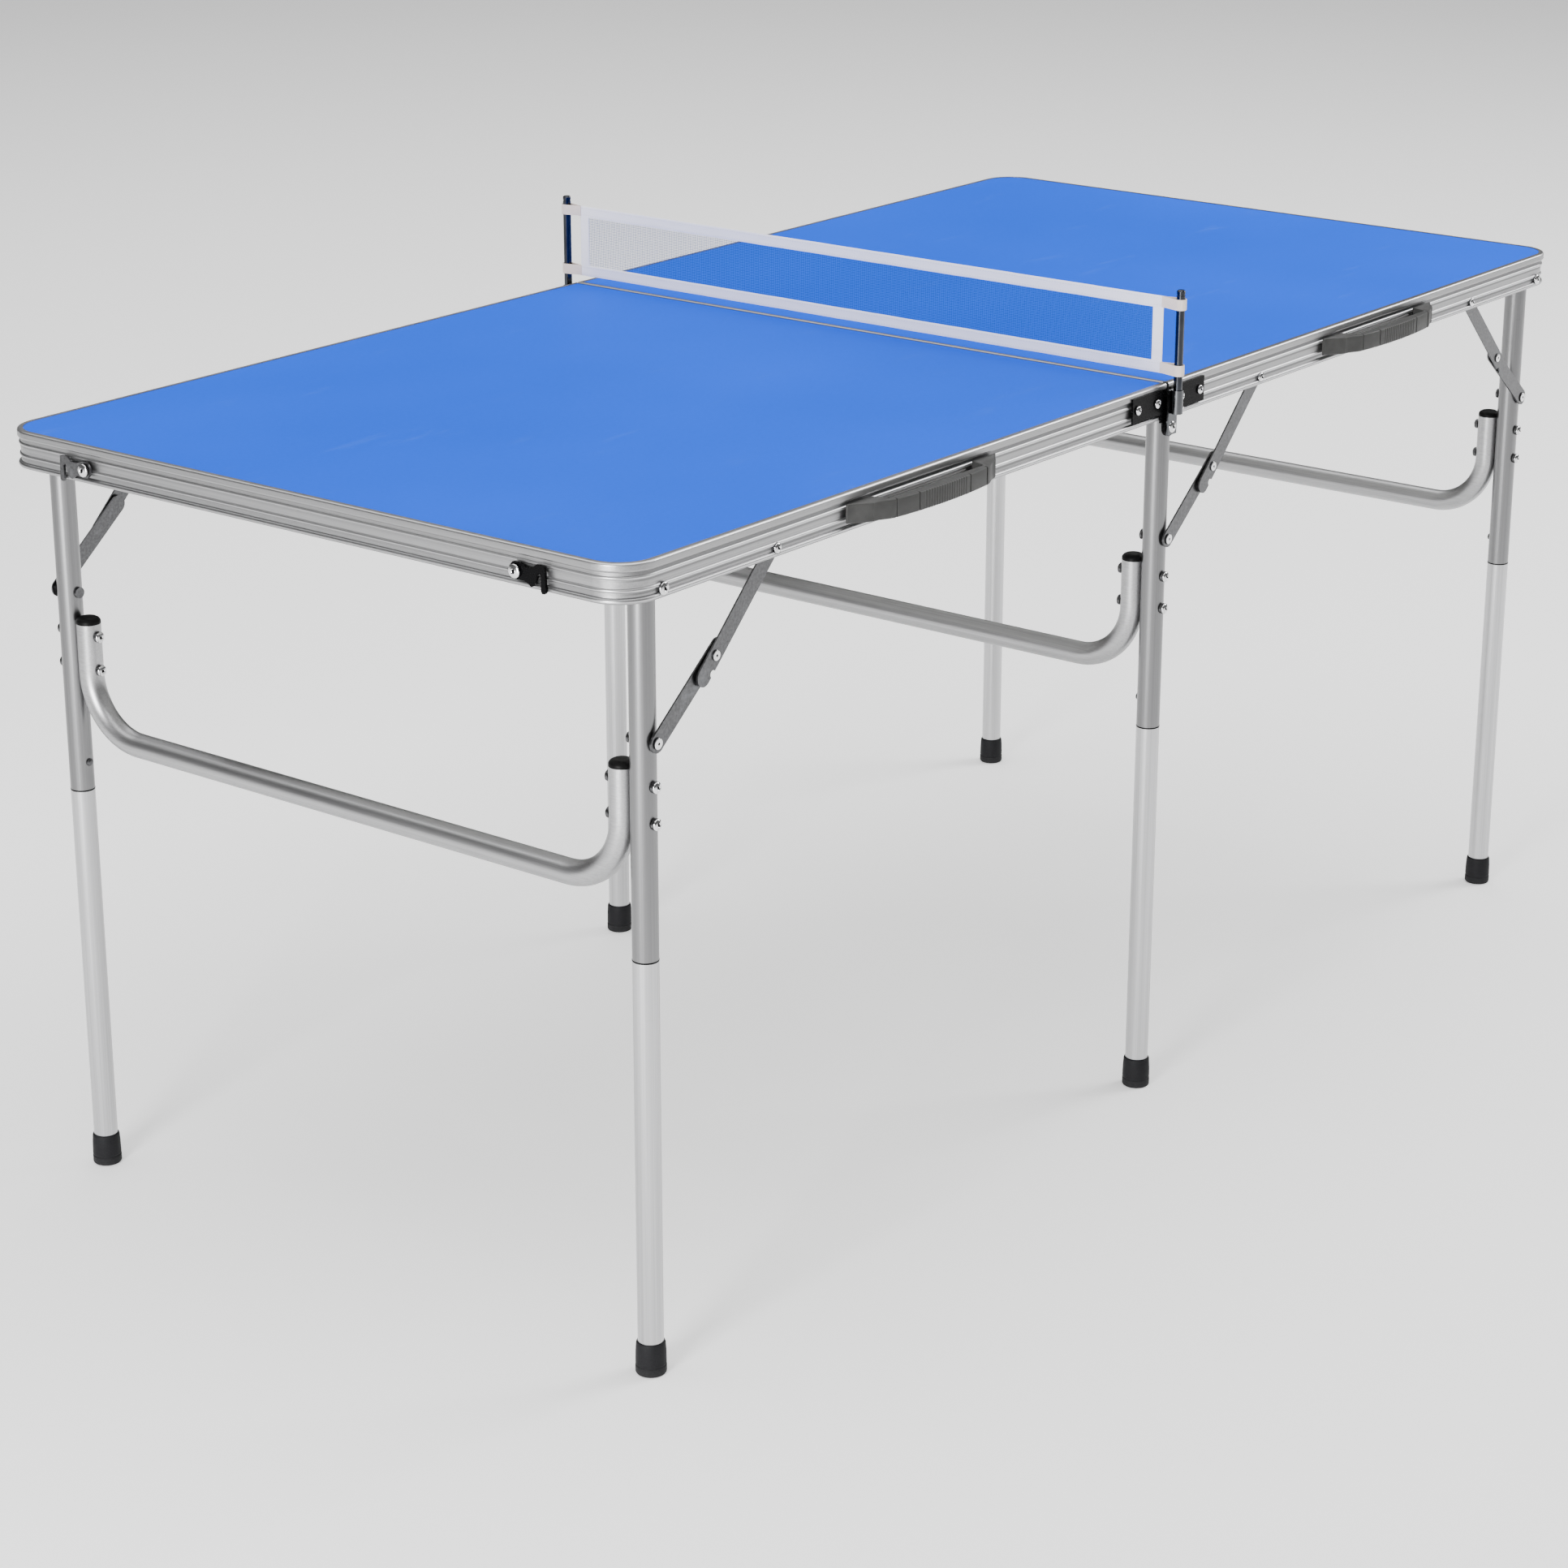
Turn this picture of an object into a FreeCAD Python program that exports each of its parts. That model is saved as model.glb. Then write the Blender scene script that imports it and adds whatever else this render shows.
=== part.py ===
import FreeCAD, Part
import math
import os
import re
import Sketcher
from FreeCAD import Placement, Rotation, Vector

# Folding table for table tennis. X runs along the table, from the near half to the far half,
# -Y is the side with the handles, +Z is up, and the origin is on the floor under the middle.

SIZES = {
    # table
    "table_long": 1524, "table_wide": 711, "table_high": 711, "middle_gap": 4,
    "corner_round": 35, "board_thick": 9, "rail_high": 33, "rail_wall": 4, "lip_wide": 5.5,
    "shelf_wide": 14, "shelf_thick": 1.5, "middle_rail_thick": 8,
    # leg sets
    "near_leg": -716, "centre_leg": 24, "far_leg": 724, "leg_inset": 24, "pivot_high": 685,
    "tube_outer": 11, "tube_inner": 9.8, "leg_above_pivot": 6, "seam_high": 372, "seam_gap": 0.3,
    "spigot_outer": 9.7, "spigot_inner": 8.5, "spigot_long": 55, "foot_outer": 13.3,
    "foot_high": 30, "foot_sole": 6,
    # cross tube and its bolts
    "cross_high": 428, "cross_bend": 58, "stub_inset": 46, "stub_top": 531, "plug_high": 6,
    "upper_bolt": 520, "lower_bolt": 489, "bolt_thick": 2.9, "bolt_head": 5,
    # braces
    "pin_thick": 3, "pin_bore": 3.1, "leg_pin_drop": 128, "rail_pin_reach": 142,
    "upper_link_long": 102.7, "lower_link_long": 88.7, "link_half_wide": 8, "link_thick": 1.6,
    "lower_link_inner": 345.1, "upper_link_inner": 348.4, "hook_past_knee": 21,
    "link_past_knee": 7.5, "notch_round": 3.4,
    # snap buttons
    "button_high": 398, "button_thick": 3.4, "button_hole": 3.5, "button_out": 2.4,
    "button_inner_end": 10,
    # centre hinges
    "hinge_pivot_high": 671, "leaf_near_end": 3, "leaf_far_end": 60, "leaf_low": 684,
    "leaf_top": 707, "leaf_thick": 1.6, "leaf_gap": 0.5, "ear_round": 9,
    # net and posts
    "post_thick": 4, "post_bore": 4.1, "post_out": 366.2, "post_top": 798, "sleeve_outer": 5.2,
    "sleeve_low": 684, "sleeve_floor": 687, "sleeve_top": 706, "net_half": 348, "net_low": 719,
    "net_top": 790, "tape_wide": 11, "tape_thick": 1.6, "mesh_thick": 0.8, "strap_high": 10,
    "strap_inner": 4.4, "strap_outer": 5.4,
    # handles
    "handle_middle": 381, "handle_half": 105, "block_outer": 84, "block_inner": 64,
    "handle_out": 27, "handle_bar": 11, "handle_low": 685.5, "handle_high": 17,
    # latches
    "latch_pivot_side": 246, "latch_pivot_high": 691, "stud_side": 269.8, "hook_thick": 2.5,
}


def expression(text):
    """Turn a formula in plain size names into one that reads the sheet."""
    return re.sub(r"[a-z][a-z_]+", lambda m: "Sizes." + m.group(), str(text))


def value(text):
    """The number that a formula in plain size names comes to, worked out by the sheet."""
    if text not in sheet_values:
        sheet.set("D1", "=" + re.sub("Sizes[.]", "", expression(text)))
        sheet.recompute()
        sheet_values[text] = float(sheet.get("D1"))
    return sheet_values[text]


def fill_sheet():
    for row, (name, size) in enumerate(SIZES.items(), start=1):
        sheet.set("A%d" % row, name)
        sheet.set("B%d" % row, str(size))
        sheet.setAlias("B%d" % row, name)
    doc.recompute()


def place(item, where, turn=None):
    if turn is not None:
        item.Placement = Placement(Vector(), turn)
    for axis, text in zip("xyz", where):
        item.setExpression(".Placement.Base." + axis, expression(text))
    return item


def box(xs, ys, zs):
    """A box between two bounds on each axis, each bound a formula."""
    item = doc.addObject("Part::Box", "block")
    for side, (low, high) in zip(("Length", "Width", "Height"), (xs, ys, zs)):
        item.setExpression(side, expression("(%s) - (%s)" % (high, low)))
    return place(item, (xs[0], ys[0], zs[0]))


TURNS = {
    "x": Rotation(Vector(0, 1, 0), 90),
    "y": Rotation(Vector(1, 0, 0), -90),
    "z": Rotation(),
}


def rod(axis, centre, ends, radius, top_radius=None):
    """A cylinder or cone along an axis: centre is the two other coordinates, in X, Y, Z order."""
    kind = "Part::Cylinder" if top_radius is None else "Part::Cone"
    item = doc.addObject(kind, "round")
    if top_radius is None:
        item.setExpression("Radius", expression(radius))
    else:
        item.setExpression("Radius1", expression(radius))
        item.setExpression("Radius2", expression(top_radius))
    item.setExpression("Height", expression("(%s) - (%s)" % (ends[1], ends[0])))
    where = list(centre)
    where.insert("xyz".index(axis), ends[0])
    return place(item, where, TURNS[axis])


def cut(base, *tools):
    item = doc.addObject("Part::Cut", "cut")
    item.Base = base
    item.Tool = tools[0] if len(tools) == 1 else fuse(*tools)
    return item


def fuse(*pieces):
    item = doc.addObject("Part::MultiFuse", "joined")
    item.Shapes = list(pieces)
    return item


def pipe(axis, centre, ends, outer, inner):
    return cut(rod(axis, centre, ends, outer), rod(axis, centre, ends, inner))


def keep(label, *pieces):
    """Give a node its name; more than one piece makes a group of separate solids."""
    if len(pieces) == 1:
        item = pieces[0]
    else:
        item = doc.addObject("Part::Compound", "group")
        item.Links = list(pieces)
    item.Label = label
    nodes.append(item)
    return item


def mirrored(low, high, side):
    """A pair of Y bounds on one side of the table."""
    if side > 0:
        return "(%s)" % low, "(%s)" % high
    return "-(%s)" % high, "-(%s)" % low


def sideways(text, side):
    return "%d * (%s)" % (side, text)


PLANES = {"x": "YZ_Plane", "y": "XZ_Plane", "z": "XY_Plane"}


def sketch_on(body, axis, offset):
    """A sketch on the body's own plane square to an axis, moved along that axis."""
    sketch = body.newObject("Sketcher::SketchObject", "outline")
    plane = [f for f in body.Origin.OriginFeatures if f.Role == PLANES[axis]][0]
    sketch.AttachmentSupport = [(plane, "")]
    sketch.MapMode = "FlatFace"
    away = -offset if axis == "y" else offset
    sketch.AttachmentOffset = Placement(Vector(0, 0, away), Rotation())
    return sketch


def draw(sketch, start, steps, closed=True):
    """Lines and arcs from a start point: a step is an end point, or a middle and an end point."""
    first = sketch.GeometryCount
    here = start
    for step in steps:
        if isinstance(step[0], tuple):
            middle, end = step
            edge = Part.Arc(Vector(*here, 0), Vector(*middle, 0), Vector(*end, 0))
        else:
            end = step
            edge = Part.LineSegment(Vector(*here, 0), Vector(*end, 0))
        sketch.addGeometry(edge, False)
        here = end
    if closed and math.dist(here, start) > 1e-6:
        sketch.addGeometry(Part.LineSegment(Vector(*here, 0), Vector(*start, 0)), False)
    for number in range(first, sketch.GeometryCount):
        sketch.addConstraint(Sketcher.Constraint("Block", number))


def plate(axis, low, thick, start, steps, holes=()):
    """A flat plate square to an axis. Its outline is in the other two coordinates."""
    body = doc.addObject("PartDesign::Body", "plate")
    base = low + thick if axis == "y" else low
    sketch = sketch_on(body, axis, base)
    draw(sketch, start, steps)
    for x, y, radius in holes:
        sketch.addGeometry(Part.Circle(Vector(x, y, 0), Vector(0, 0, 1), radius), False)
    pad = body.newObject("PartDesign::Pad", "pad")
    pad.Profile = sketch
    pad.Length = thick
    body.Tip = pad
    return body


def swept(path_axis, path_at, path, profile_axis, profile_at, profile):
    """A section, either a circle's (middle, radius) or an outline, carried along a path."""
    body = doc.addObject("PartDesign::Body", "swept")
    spine = sketch_on(body, path_axis, path_at)
    draw(spine, path[0], path[1], closed=False)
    section = sketch_on(body, profile_axis, profile_at)
    if isinstance(profile[0], Vector):
        section.addGeometry(Part.Circle(profile[0], Vector(0, 0, 1), profile[1]), False)
    else:
        draw(section, profile[0], profile[1])
    doc.recompute()
    sweep = body.newObject("PartDesign::AdditivePipe", "sweep")
    sweep.Profile = section
    sweep.Spine = (spine, ["Edge%d" % (n + 1) for n in range(spine.GeometryCount)])
    body.Tip = sweep
    return body


# ---------------------------------------------------------------- the frame round each half


def rail_path(half):
    """The outer edge of one half, from the middle of the table round the end and back."""
    end, side, round_off = half * value("table_long / 2"), value("table_wide / 2"), value("corner_round")
    middle, turn = half * value("middle_gap / 2"), round_off * (1 - math.sqrt(0.5))
    inner_end = end - half * round_off
    return (middle, -side), [
        (inner_end, -side),
        ((end - half * turn, -side + turn), (end, -side + round_off)),
        (end, side - round_off),
        ((end - half * turn, side - turn), (inner_end, side)),
        (middle, side),
    ]


def rail_section():
    """The extrusion's outline: a lip above and below two ribs outside, a shelf for the board inside."""
    edge, low, top = -value("table_wide / 2"), value("table_high - rail_high"), value("table_high")
    wall, lip = edge + value("rail_wall"), edge + value("lip_wide")
    seat = top - value("board_thick")
    under = seat - value("shelf_thick")
    shelf = edge + value("shelf_wide")
    start = (lip, top)
    return start, [
        (edge + 2.2, top), ((edge + 0.6, top - 0.6), (edge, top - 2.2)),
        (edge, top - 5.6), ((edge + 0.6, top - 7.1), (edge + 2.2, top - 7.8)),
        (edge + 2.2, top - 10.6), ((edge + 1.0, top - 12.2), (edge + 2.2, top - 13.8)),
        (edge + 2.6, top - 20.8), ((edge + 1.3, top - 22.5), (edge + 2.6, top - 24.2)),
        (edge + 2.6, low + 4.8), ((edge + 0.7, low + 4.0), (edge, low + 2.6)),
        (edge, low + 1.6), ((edge + 0.5, low + 0.5), (edge + 1.6, low)),
        (wall, low), (wall, under), (shelf, under), (shelf, seat), (lip, seat),
    ]


def rail_holes(half_name, side):
    """Holes and head seats through the rail for the leg pivots and the brace rivets."""
    tools = []
    for leg, reach in LEG_SETS:
        if (leg == "near_leg") != (half_name == "near"):
            continue
        for spot, head in ((leg, "5.6"), ("%s + %d * rail_pin_reach" % (leg, reach), "4.7")):
            tools.append(rod("y", (spot, "pivot_high"), mirrored(
                "table_wide / 2 - 16", "table_wide / 2 + 2", side), "pin_thick"))
            tools.append(rod("y", (spot, "pivot_high"), mirrored(
                "table_wide / 2 - 2.6", "table_wide / 2 + 2", side), head))
    return tools


def end_holes(half, side):
    """The hole through the end rail for a latch rivet or a latch stud."""
    inner, outer = "table_long / 2 - 5", "table_long / 2 + 1"
    if half < 0:
        return rod("x", (sideways("latch_pivot_side", side), "latch_pivot_high"),
                   mirrored(inner, outer, half), "pin_thick")
    return rod("x", (sideways("stud_side", side), "latch_pivot_high - 2"),
               mirrored(inner, outer, half), "pin_thick")


def make_frames():
    for name, half in (("near", -1), ("far", 1)):
        rail = swept("z", 0, rail_path(half), "x", half * value("middle_gap / 2"), rail_section())
        tools = rail_holes(name, -1) + rail_holes(name, 1)
        tools += [end_holes(half, side) for side in (-1, 1)]
        keep(name + "_side_frame", cut(rail, *tools))
        inner, outer = "middle_gap / 2", "middle_gap / 2 + middle_rail_thick"
        xs = mirrored(inner, outer, half)
        wide = "table_wide / 2 - rail_wall"
        under_shelf = "table_high - board_thick - shelf_thick"
        web = box(xs, ("-(%s)" % wide, wide), ("table_high - rail_high", under_shelf))
        lip_x = mirrored(inner, inner + " + 2", half)
        lip_y = "table_wide / 2 - lip_wide"
        lip = box(lip_x, ("-(%s)" % lip_y, lip_y), (under_shelf, "table_high"))
        keep(name + "_centre_rail", cut(fuse(web, lip), *shelf_notches(xs)))
        keep(name + "_top_board", board(half))


def shelf_notches(xs):
    """Room at both ends of the centre rail for the long rails' shelves."""
    heights = ("table_high - board_thick - shelf_thick", "table_high - board_thick")
    return [
        box(xs, mirrored("table_wide / 2 - shelf_wide", "table_wide / 2", side), heights)
        for side in (-1, 1)
    ]


def board(half):
    """The playing board: it fills the frame inside the lip, with the frame's round corners."""
    edge = value("lip_wide") + 0.1
    end, side = half * (value("table_long / 2") - edge), value("table_wide / 2") - edge
    round_off = value("corner_round") - edge
    middle, turn = half * (value("middle_gap / 2") + 2.1), round_off * (1 - math.sqrt(0.5))
    low = value("table_high - board_thick")
    return plate("z", low, value("board_thick") - 0.4, (middle, -side), [
        (end - half * round_off, -side),
        ((end - half * turn, -side + turn), (end, -side + round_off)),
        (end, side - round_off),
        ((end - half * turn, side - turn), (end - half * round_off, side)),
        (middle, side),
    ])


# ---------------------------------------------------------------- leg sets

LEG_SETS = (("near_leg", 1), ("centre_leg", 1), ("far_leg", -1))
SIDES = (("right", -1), ("left", 1))


def make_upper_legs(name, leg):
    tubes = []
    for _, side in SIDES:
        axis = sideways("table_wide / 2 - leg_inset", side)
        heights = ("seam_high", "pivot_high + leg_above_pivot")
        tube = pipe("z", (leg, axis), heights, "tube_outer", "tube_inner")
        across = mirrored("table_wide / 2 - 60", "table_wide / 2", side)
        holes = [
            rod("y", (leg, "pivot_high"), across, "pin_bore"),
            rod("y", (leg, "pivot_high - leg_pin_drop"), across, "pin_thick"),
            rod("y", (leg, "upper_bolt"), across, "bolt_thick"),
            rod("y", (leg, "lower_bolt"), across, "bolt_thick"),
            rod("y", (leg, "button_high"), mirrored(
                "table_wide / 2 - leg_inset - 20", "table_wide / 2 - leg_inset", side), "button_hole"),
        ]
        tubes.append(cut(tube, *holes))
    keep(name + "_upper_legs", *tubes)


def cross_path():
    low, bend = value("cross_high"), value("cross_bend")
    side, top = value("table_wide / 2 - stub_inset"), value("stub_top")
    turn = bend * (1 - math.sqrt(0.5))
    return (-side, top), [
        (-side, low + bend),
        ((-side + turn, low + turn), (-side + bend, low)),
        (side - bend, low),
        ((side - turn, low + turn), (side, low + bend)),
        (side, top),
    ]


def make_cross_tube(name, leg):
    path = cross_path()
    middle = Vector(value(leg), path[0][0], 0)
    layers = []
    for radius in ("tube_outer", "tube_inner"):
        layers.append(swept(
            "x", value(leg), path, "z", value("stub_top"), (middle, value(radius))))
    across = ("-(table_wide / 2)", "table_wide / 2")
    holes = [rod("y", (leg, height), across, "bolt_thick") for height in ("upper_bolt", "lower_bolt")]
    keep(name + "_cross_tube", cut(layers[0], layers[1], *holes))
    plugs = []
    for _, side in SIDES:
        centre = (leg, sideways("table_wide / 2 - stub_inset", side))
        cap = rod("z", centre, ("stub_top", "stub_top + plug_high"), "tube_outer", "tube_outer - 3")
        stem = rod("z", centre, ("stub_top - 8", "stub_top"), "tube_inner")
        plugs.append(fuse(cap, stem))
    keep(name + "_tube_plugs", *plugs)


def make_leg_bolts(name, leg):
    """Two bolts through leg and cross tube, and the pin that carries the lower brace link."""
    bolts = []
    for _, side in SIDES:
        outer, inner = "table_wide / 2 - leg_inset + tube_outer", "table_wide / 2 - stub_inset - tube_outer"
        for height in ("upper_bolt", "lower_bolt"):
            shank = rod("y", (leg, height), mirrored(inner + " - 3", outer + " + 3", side), "bolt_thick")
            head = rod("y", (leg, height), mirrored(outer, outer + " + 3", side), "bolt_head")
            nut = rod("y", (leg, height), mirrored(inner + " - 3", inner, side), "bolt_head")
            bolts.append(fuse(shank, head, nut))
        low = "pivot_high - leg_pin_drop"
        inner = "table_wide / 2 - leg_inset - tube_outer"
        head_at = "lower_link_inner + link_thick + 0.3"
        shank = rod("y", (leg, low), mirrored(inner + " - 2", head_at + " + 0.8", side), "pin_thick")
        head = rod("y", (leg, low), mirrored(head_at, head_at + " + 0.9", side), "bolt_head")
        nut = rod("y", (leg, low), mirrored(inner + " - 2.5", inner, side), "bolt_head")
        bolts.append(fuse(shank, head, nut))
    keep(name + "_leg_bolts", *bolts)


def make_pivots(name, leg, reach):
    """The leg's pivot bolts and the brace rivets, both through the long rails."""
    pieces = []
    seat = "table_wide / 2 - 2.6"
    for _, side in SIDES:
        inner = "table_wide / 2 - leg_inset - tube_outer"
        outer = "table_wide / 2 - leg_inset + tube_outer"
        wall = "table_wide / 2 - rail_wall"
        pieces.append(fuse(
            rod("y", (leg, "pivot_high"), mirrored(inner + " - 3", seat + " + 2", side), "pin_thick"),
            rod("y", (leg, "pivot_high"), mirrored(outer + " + 0.4", wall, side), "6"),
            rod("y", (leg, "pivot_high"), mirrored(seat, seat + " + 2.4", side), "5.5"),
            rod("y", (leg, "pivot_high"), mirrored(inner + " - 3", inner + " - 0.4", side), "bolt_head"),
        ))
        spot = "%s + %d * rail_pin_reach" % (leg, reach)
        link_low, link_top = "upper_link_inner", "upper_link_inner + link_thick"
        pieces.append(fuse(
            rod("y", (spot, "pivot_high"), mirrored(link_low + " - 1", seat + " + 2", side), "pin_thick"),
            rod("y", (spot, "pivot_high"), mirrored(link_top + " + 0.4", wall, side), "5"),
            rod("y", (spot, "pivot_high"), mirrored(seat, seat + " + 2", side), "4.5"),
            rod("y", (spot, "pivot_high"), mirrored(link_low + " - 1.3", link_low + " - 0.4", side), "4.5"),
        ))
    keep(name + "_leg_pivots", *pieces)


def knee_of(leg, reach):
    """The brace's three pins at rest: on the leg, at the knee and on the rail."""
    drop, span = value("leg_pin_drop"), value("rail_pin_reach")
    low, high = value("lower_link_long"), value("upper_link_long")
    x, z = value(leg), value("pivot_high")
    apart = math.hypot(span, drop)
    along = (low * low - high * high + apart * apart) / (2 * apart)
    off = math.sqrt(low * low - along * along)
    ux, uz = span / apart, drop / apart
    knee = (x + reach * (along * ux + off * uz), z - drop + along * uz - off * ux)
    return (x, z - drop), knee, (x + reach * span, z)


def beyond(first, second, distance):
    """The point on the line from first to second, a distance past second."""
    length = math.dist(first, second)
    return tuple(b + (b - a) * distance / length for a, b in zip(first, second))


def capsule(first, second, half_wide):
    """The outline of a flat bar with round ends."""
    length = math.dist(first, second)
    ux, uz = (second[0] - first[0]) / length, (second[1] - first[1]) / length
    nx, nz = -uz * half_wide, ux * half_wide
    ex, ez = ux * half_wide, uz * half_wide
    return (first[0] + nx, first[1] + nz), [
        ((first[0] - ex, first[1] - ez), (first[0] - nx, first[1] - nz)),
        (second[0] - nx, second[1] - nz),
        ((second[0] + ex, second[1] + ez), (second[0] + nx, second[1] + nz)),
    ]


def make_braces(name, leg, reach):
    leg_pin, knee, rail_pin = knee_of(leg, reach)
    half, thick, bore = value("link_half_wide"), value("link_thick"), value("pin_bore")
    length = math.dist(rail_pin, knee)
    tip = beyond(rail_pin, knee, value("hook_past_knee"))
    top = beyond(leg_pin, knee, value("link_past_knee"))
    notch = beyond(rail_pin, knee, value("hook_past_knee") - 8)
    down_x, down_z = reach * (rail_pin[1] - knee[1]) / length, -abs(rail_pin[0] - knee[0]) / length
    notch = (notch[0] + down_x * half, notch[1] + down_z * half)
    uppers, lowers = [], []
    for _, side in SIDES:
        low = value("upper_link_inner") if side > 0 else -value("upper_link_inner") - thick
        start, steps = capsule(rail_pin, tip, half)
        bar = plate("y", low, thick, start, steps, [(rail_pin[0], rail_pin[1], bore)])
        head = rod("y", knee, mirrored(
            "upper_link_inner + link_thick", "upper_link_inner + link_thick + 1.1", side), "4.5")
        gap = rod("y", notch, mirrored("upper_link_inner - 1", "upper_link_inner + 3", side), "notch_round")
        uppers.append(cut(fuse(bar, head), gap))
        low = value("lower_link_inner") if side > 0 else -value("lower_link_inner") - thick
        start, steps = capsule(leg_pin, top, half)
        bar = plate("y", low, thick, start, steps, [(leg_pin[0], leg_pin[1], bore)])
        washer = rod("y", knee, mirrored(
            "lower_link_inner + link_thick", "lower_link_inner + link_thick + 1.4", side), "6")
        lowers.append(fuse(bar, washer))
    keep(name + "_brace_upper_links", *uppers)
    keep(name + "_brace_lower_links", *lowers)


def make_lower_leg(name, leg, side_name, side):
    centre = (leg, sideways("table_wide / 2 - leg_inset", side))
    tube = rod("z", centre, ("foot_sole", "seam_high - seam_gap"), "tube_outer")
    spigot = rod("z", centre, ("seam_high - 30", "seam_high + spigot_long"), "spigot_outer")
    hollow = rod("z", centre, ("foot_sole", "seam_high + spigot_long"), "spigot_inner")
    hole = rod("y", (leg, "button_high"), mirrored(
        "table_wide / 2 - leg_inset - 20", "table_wide / 2 - leg_inset", side), "button_hole + 0.3")
    keep("%s_%s_lower_leg" % (name, side_name), cut(fuse(tube, spigot), hollow, hole))
    sole = rod("z", centre, ("0", "10"), "foot_outer")
    body = rod("z", centre, ("10", "foot_high"), "foot_outer", "foot_outer - 1")
    socket = rod("z", centre, ("foot_sole", "foot_high"), "tube_outer")
    foot = cut(fuse(sole, body), socket)
    keep("%s_%s_foot" % (name, side_name), foot)


def make_button(name, leg, side_name, side):
    axis = "table_wide / 2 - leg_inset"
    ends = mirrored(axis + " - tube_outer - button_out", axis + " - button_inner_end", side)
    keep("%s_%s_button" % (name, side_name), rod("y", (leg, "button_high"), ends, "button_thick"))


def make_leg_sets():
    for leg, reach in LEG_SETS:
        name = leg.split("_")[0]
        make_pivots(name, leg, reach)
        make_upper_legs(name, leg)
        make_cross_tube(name, leg)
        make_leg_bolts(name, leg)
        make_braces(name, leg, reach)
        for side_name, side in SIDES:
            make_lower_leg(name, leg, side_name, side)
            make_button(name, leg, side_name, side)


# ---------------------------------------------------------------- hinges, net, handles, latches


def make_hinges():
    rail, thick = "table_wide / 2", "leaf_thick"
    outer = rail + " + 0.1 + leaf_thick + leaf_gap"
    near, far, pins, near_rivets = [], [], [], []
    for _, side in SIDES:
        inner_ys = mirrored(rail + " + 0.1", rail + " + 0.1 + " + thick, side)
        outer_ys = mirrored(outer, outer + " + " + thick, side)
        both_ys = mirrored(rail + " + 0.1", outer + " + " + thick, side)
        bore = rod("y", ("0", "hinge_pivot_high"), both_ys, "pin_bore")
        leaf = box(("-leaf_far_end", "-leaf_near_end"), inner_ys, ("leaf_low", "leaf_top"))
        neck = box(("-ear_round", "2"), inner_ys, ("hinge_pivot_high", "leaf_low"))
        bridge = box(("-ear_round - 4", "-leaf_near_end"), inner_ys, ("leaf_low - 8", "leaf_low + 4"))
        ear = rod("y", ("0", "hinge_pivot_high"), inner_ys, "ear_round")
        near.append(cut(fuse(leaf, neck, bridge, ear), bore))
        leaf = box(("leaf_near_end", "leaf_far_end"), inner_ys, ("leaf_low", "leaf_top"))
        step = box(("leaf_near_end", "leaf_near_end + 12"), both_ys, ("leaf_low", "leaf_low + 10"))
        neck = box(("-2", "ear_round"), outer_ys, ("hinge_pivot_high", "leaf_low + 10"))
        ear = rod("y", ("0", "hinge_pivot_high"), outer_ys, "ear_round")
        far.append(cut(fuse(leaf, step, neck, ear), bore))
        pin_ys = mirrored(rail + " - 1.5", outer + " + leaf_thick + 0.3", side)
        pins.append(fuse(
            rod("y", ("0", "hinge_pivot_high"), pin_ys, "pin_thick"),
            rod("y", ("0", "hinge_pivot_high"), mirrored(rail + " - 1.5", rail + " - 0.3", side), "5"),
        ))
        rivet_ys = mirrored(rail + " + 0.1 + leaf_thick", rail + " + 0.1 + leaf_thick + 1.3", side)
        for x in ("20", "52"):
            near_rivets.append(rod("y", ("-" + x, "leaf_low + 11.5"), rivet_ys, "3.6"))
            pins.append(rod("y", (x, "leaf_low + 11.5"), rivet_ys, "3.6"))
    keep("near_hinge_leaves", *near)
    keep("far_hinge_leaves", *far)
    keep("hinge_pins_and_rivets", *pins)
    return near_rivets


def make_net():
    brackets, posts, tapes = [], [], []
    outer_leaf = "table_wide / 2 + 0.1 + leaf_thick + leaf_gap + leaf_thick"
    for _, side in SIDES:
        centre = ("0", sideways("post_out", side))
        plate_ys = mirrored(outer_leaf + " + 0.3", "post_out - sleeve_outer + 1", side)
        back = box(("-7", "7"), plate_ys, ("hinge_pivot_high - 7", "sleeve_top"))
        sleeve = rod("z", centre, ("sleeve_low", "sleeve_top"), "sleeve_outer")
        socket = rod("z", centre, ("sleeve_floor", "sleeve_top"), "post_bore")
        brackets.append(cut(fuse(back, sleeve), socket))
        posts.append(rod("z", centre, ("sleeve_floor + 0.3", "post_top"), "post_thick"))
        for low in ("net_low", "net_top - strap_high"):
            ring = pipe("z", centre, (low, low + " + strap_high"), "strap_outer", "strap_inner")
            tab_ys = mirrored("net_half", "post_out - strap_inner - 0.2", side)
            tab = box(("-tape_thick / 2", "tape_thick / 2"), tab_ys, (low, low + " + strap_high"))
            tapes.append(fuse(ring, tab))
    flat = ("-tape_thick / 2", "tape_thick / 2")
    whole = box(flat, ("-net_half", "net_half"), ("net_low", "net_top"))
    inside = ("-(net_half - tape_wide)", "net_half - tape_wide")
    window = box(flat, inside, ("net_low + tape_wide", "net_top - tape_wide"))
    tapes.append(cut(whole, window))
    keep("post_brackets", *brackets)
    keep("net_posts", *posts)
    keep("net_tape", *tapes)
    keep("net_mesh", box(("-mesh_thick / 2", "mesh_thick / 2"), inside,
                         ("net_low + tape_wide", "net_top - tape_wide")))


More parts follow.
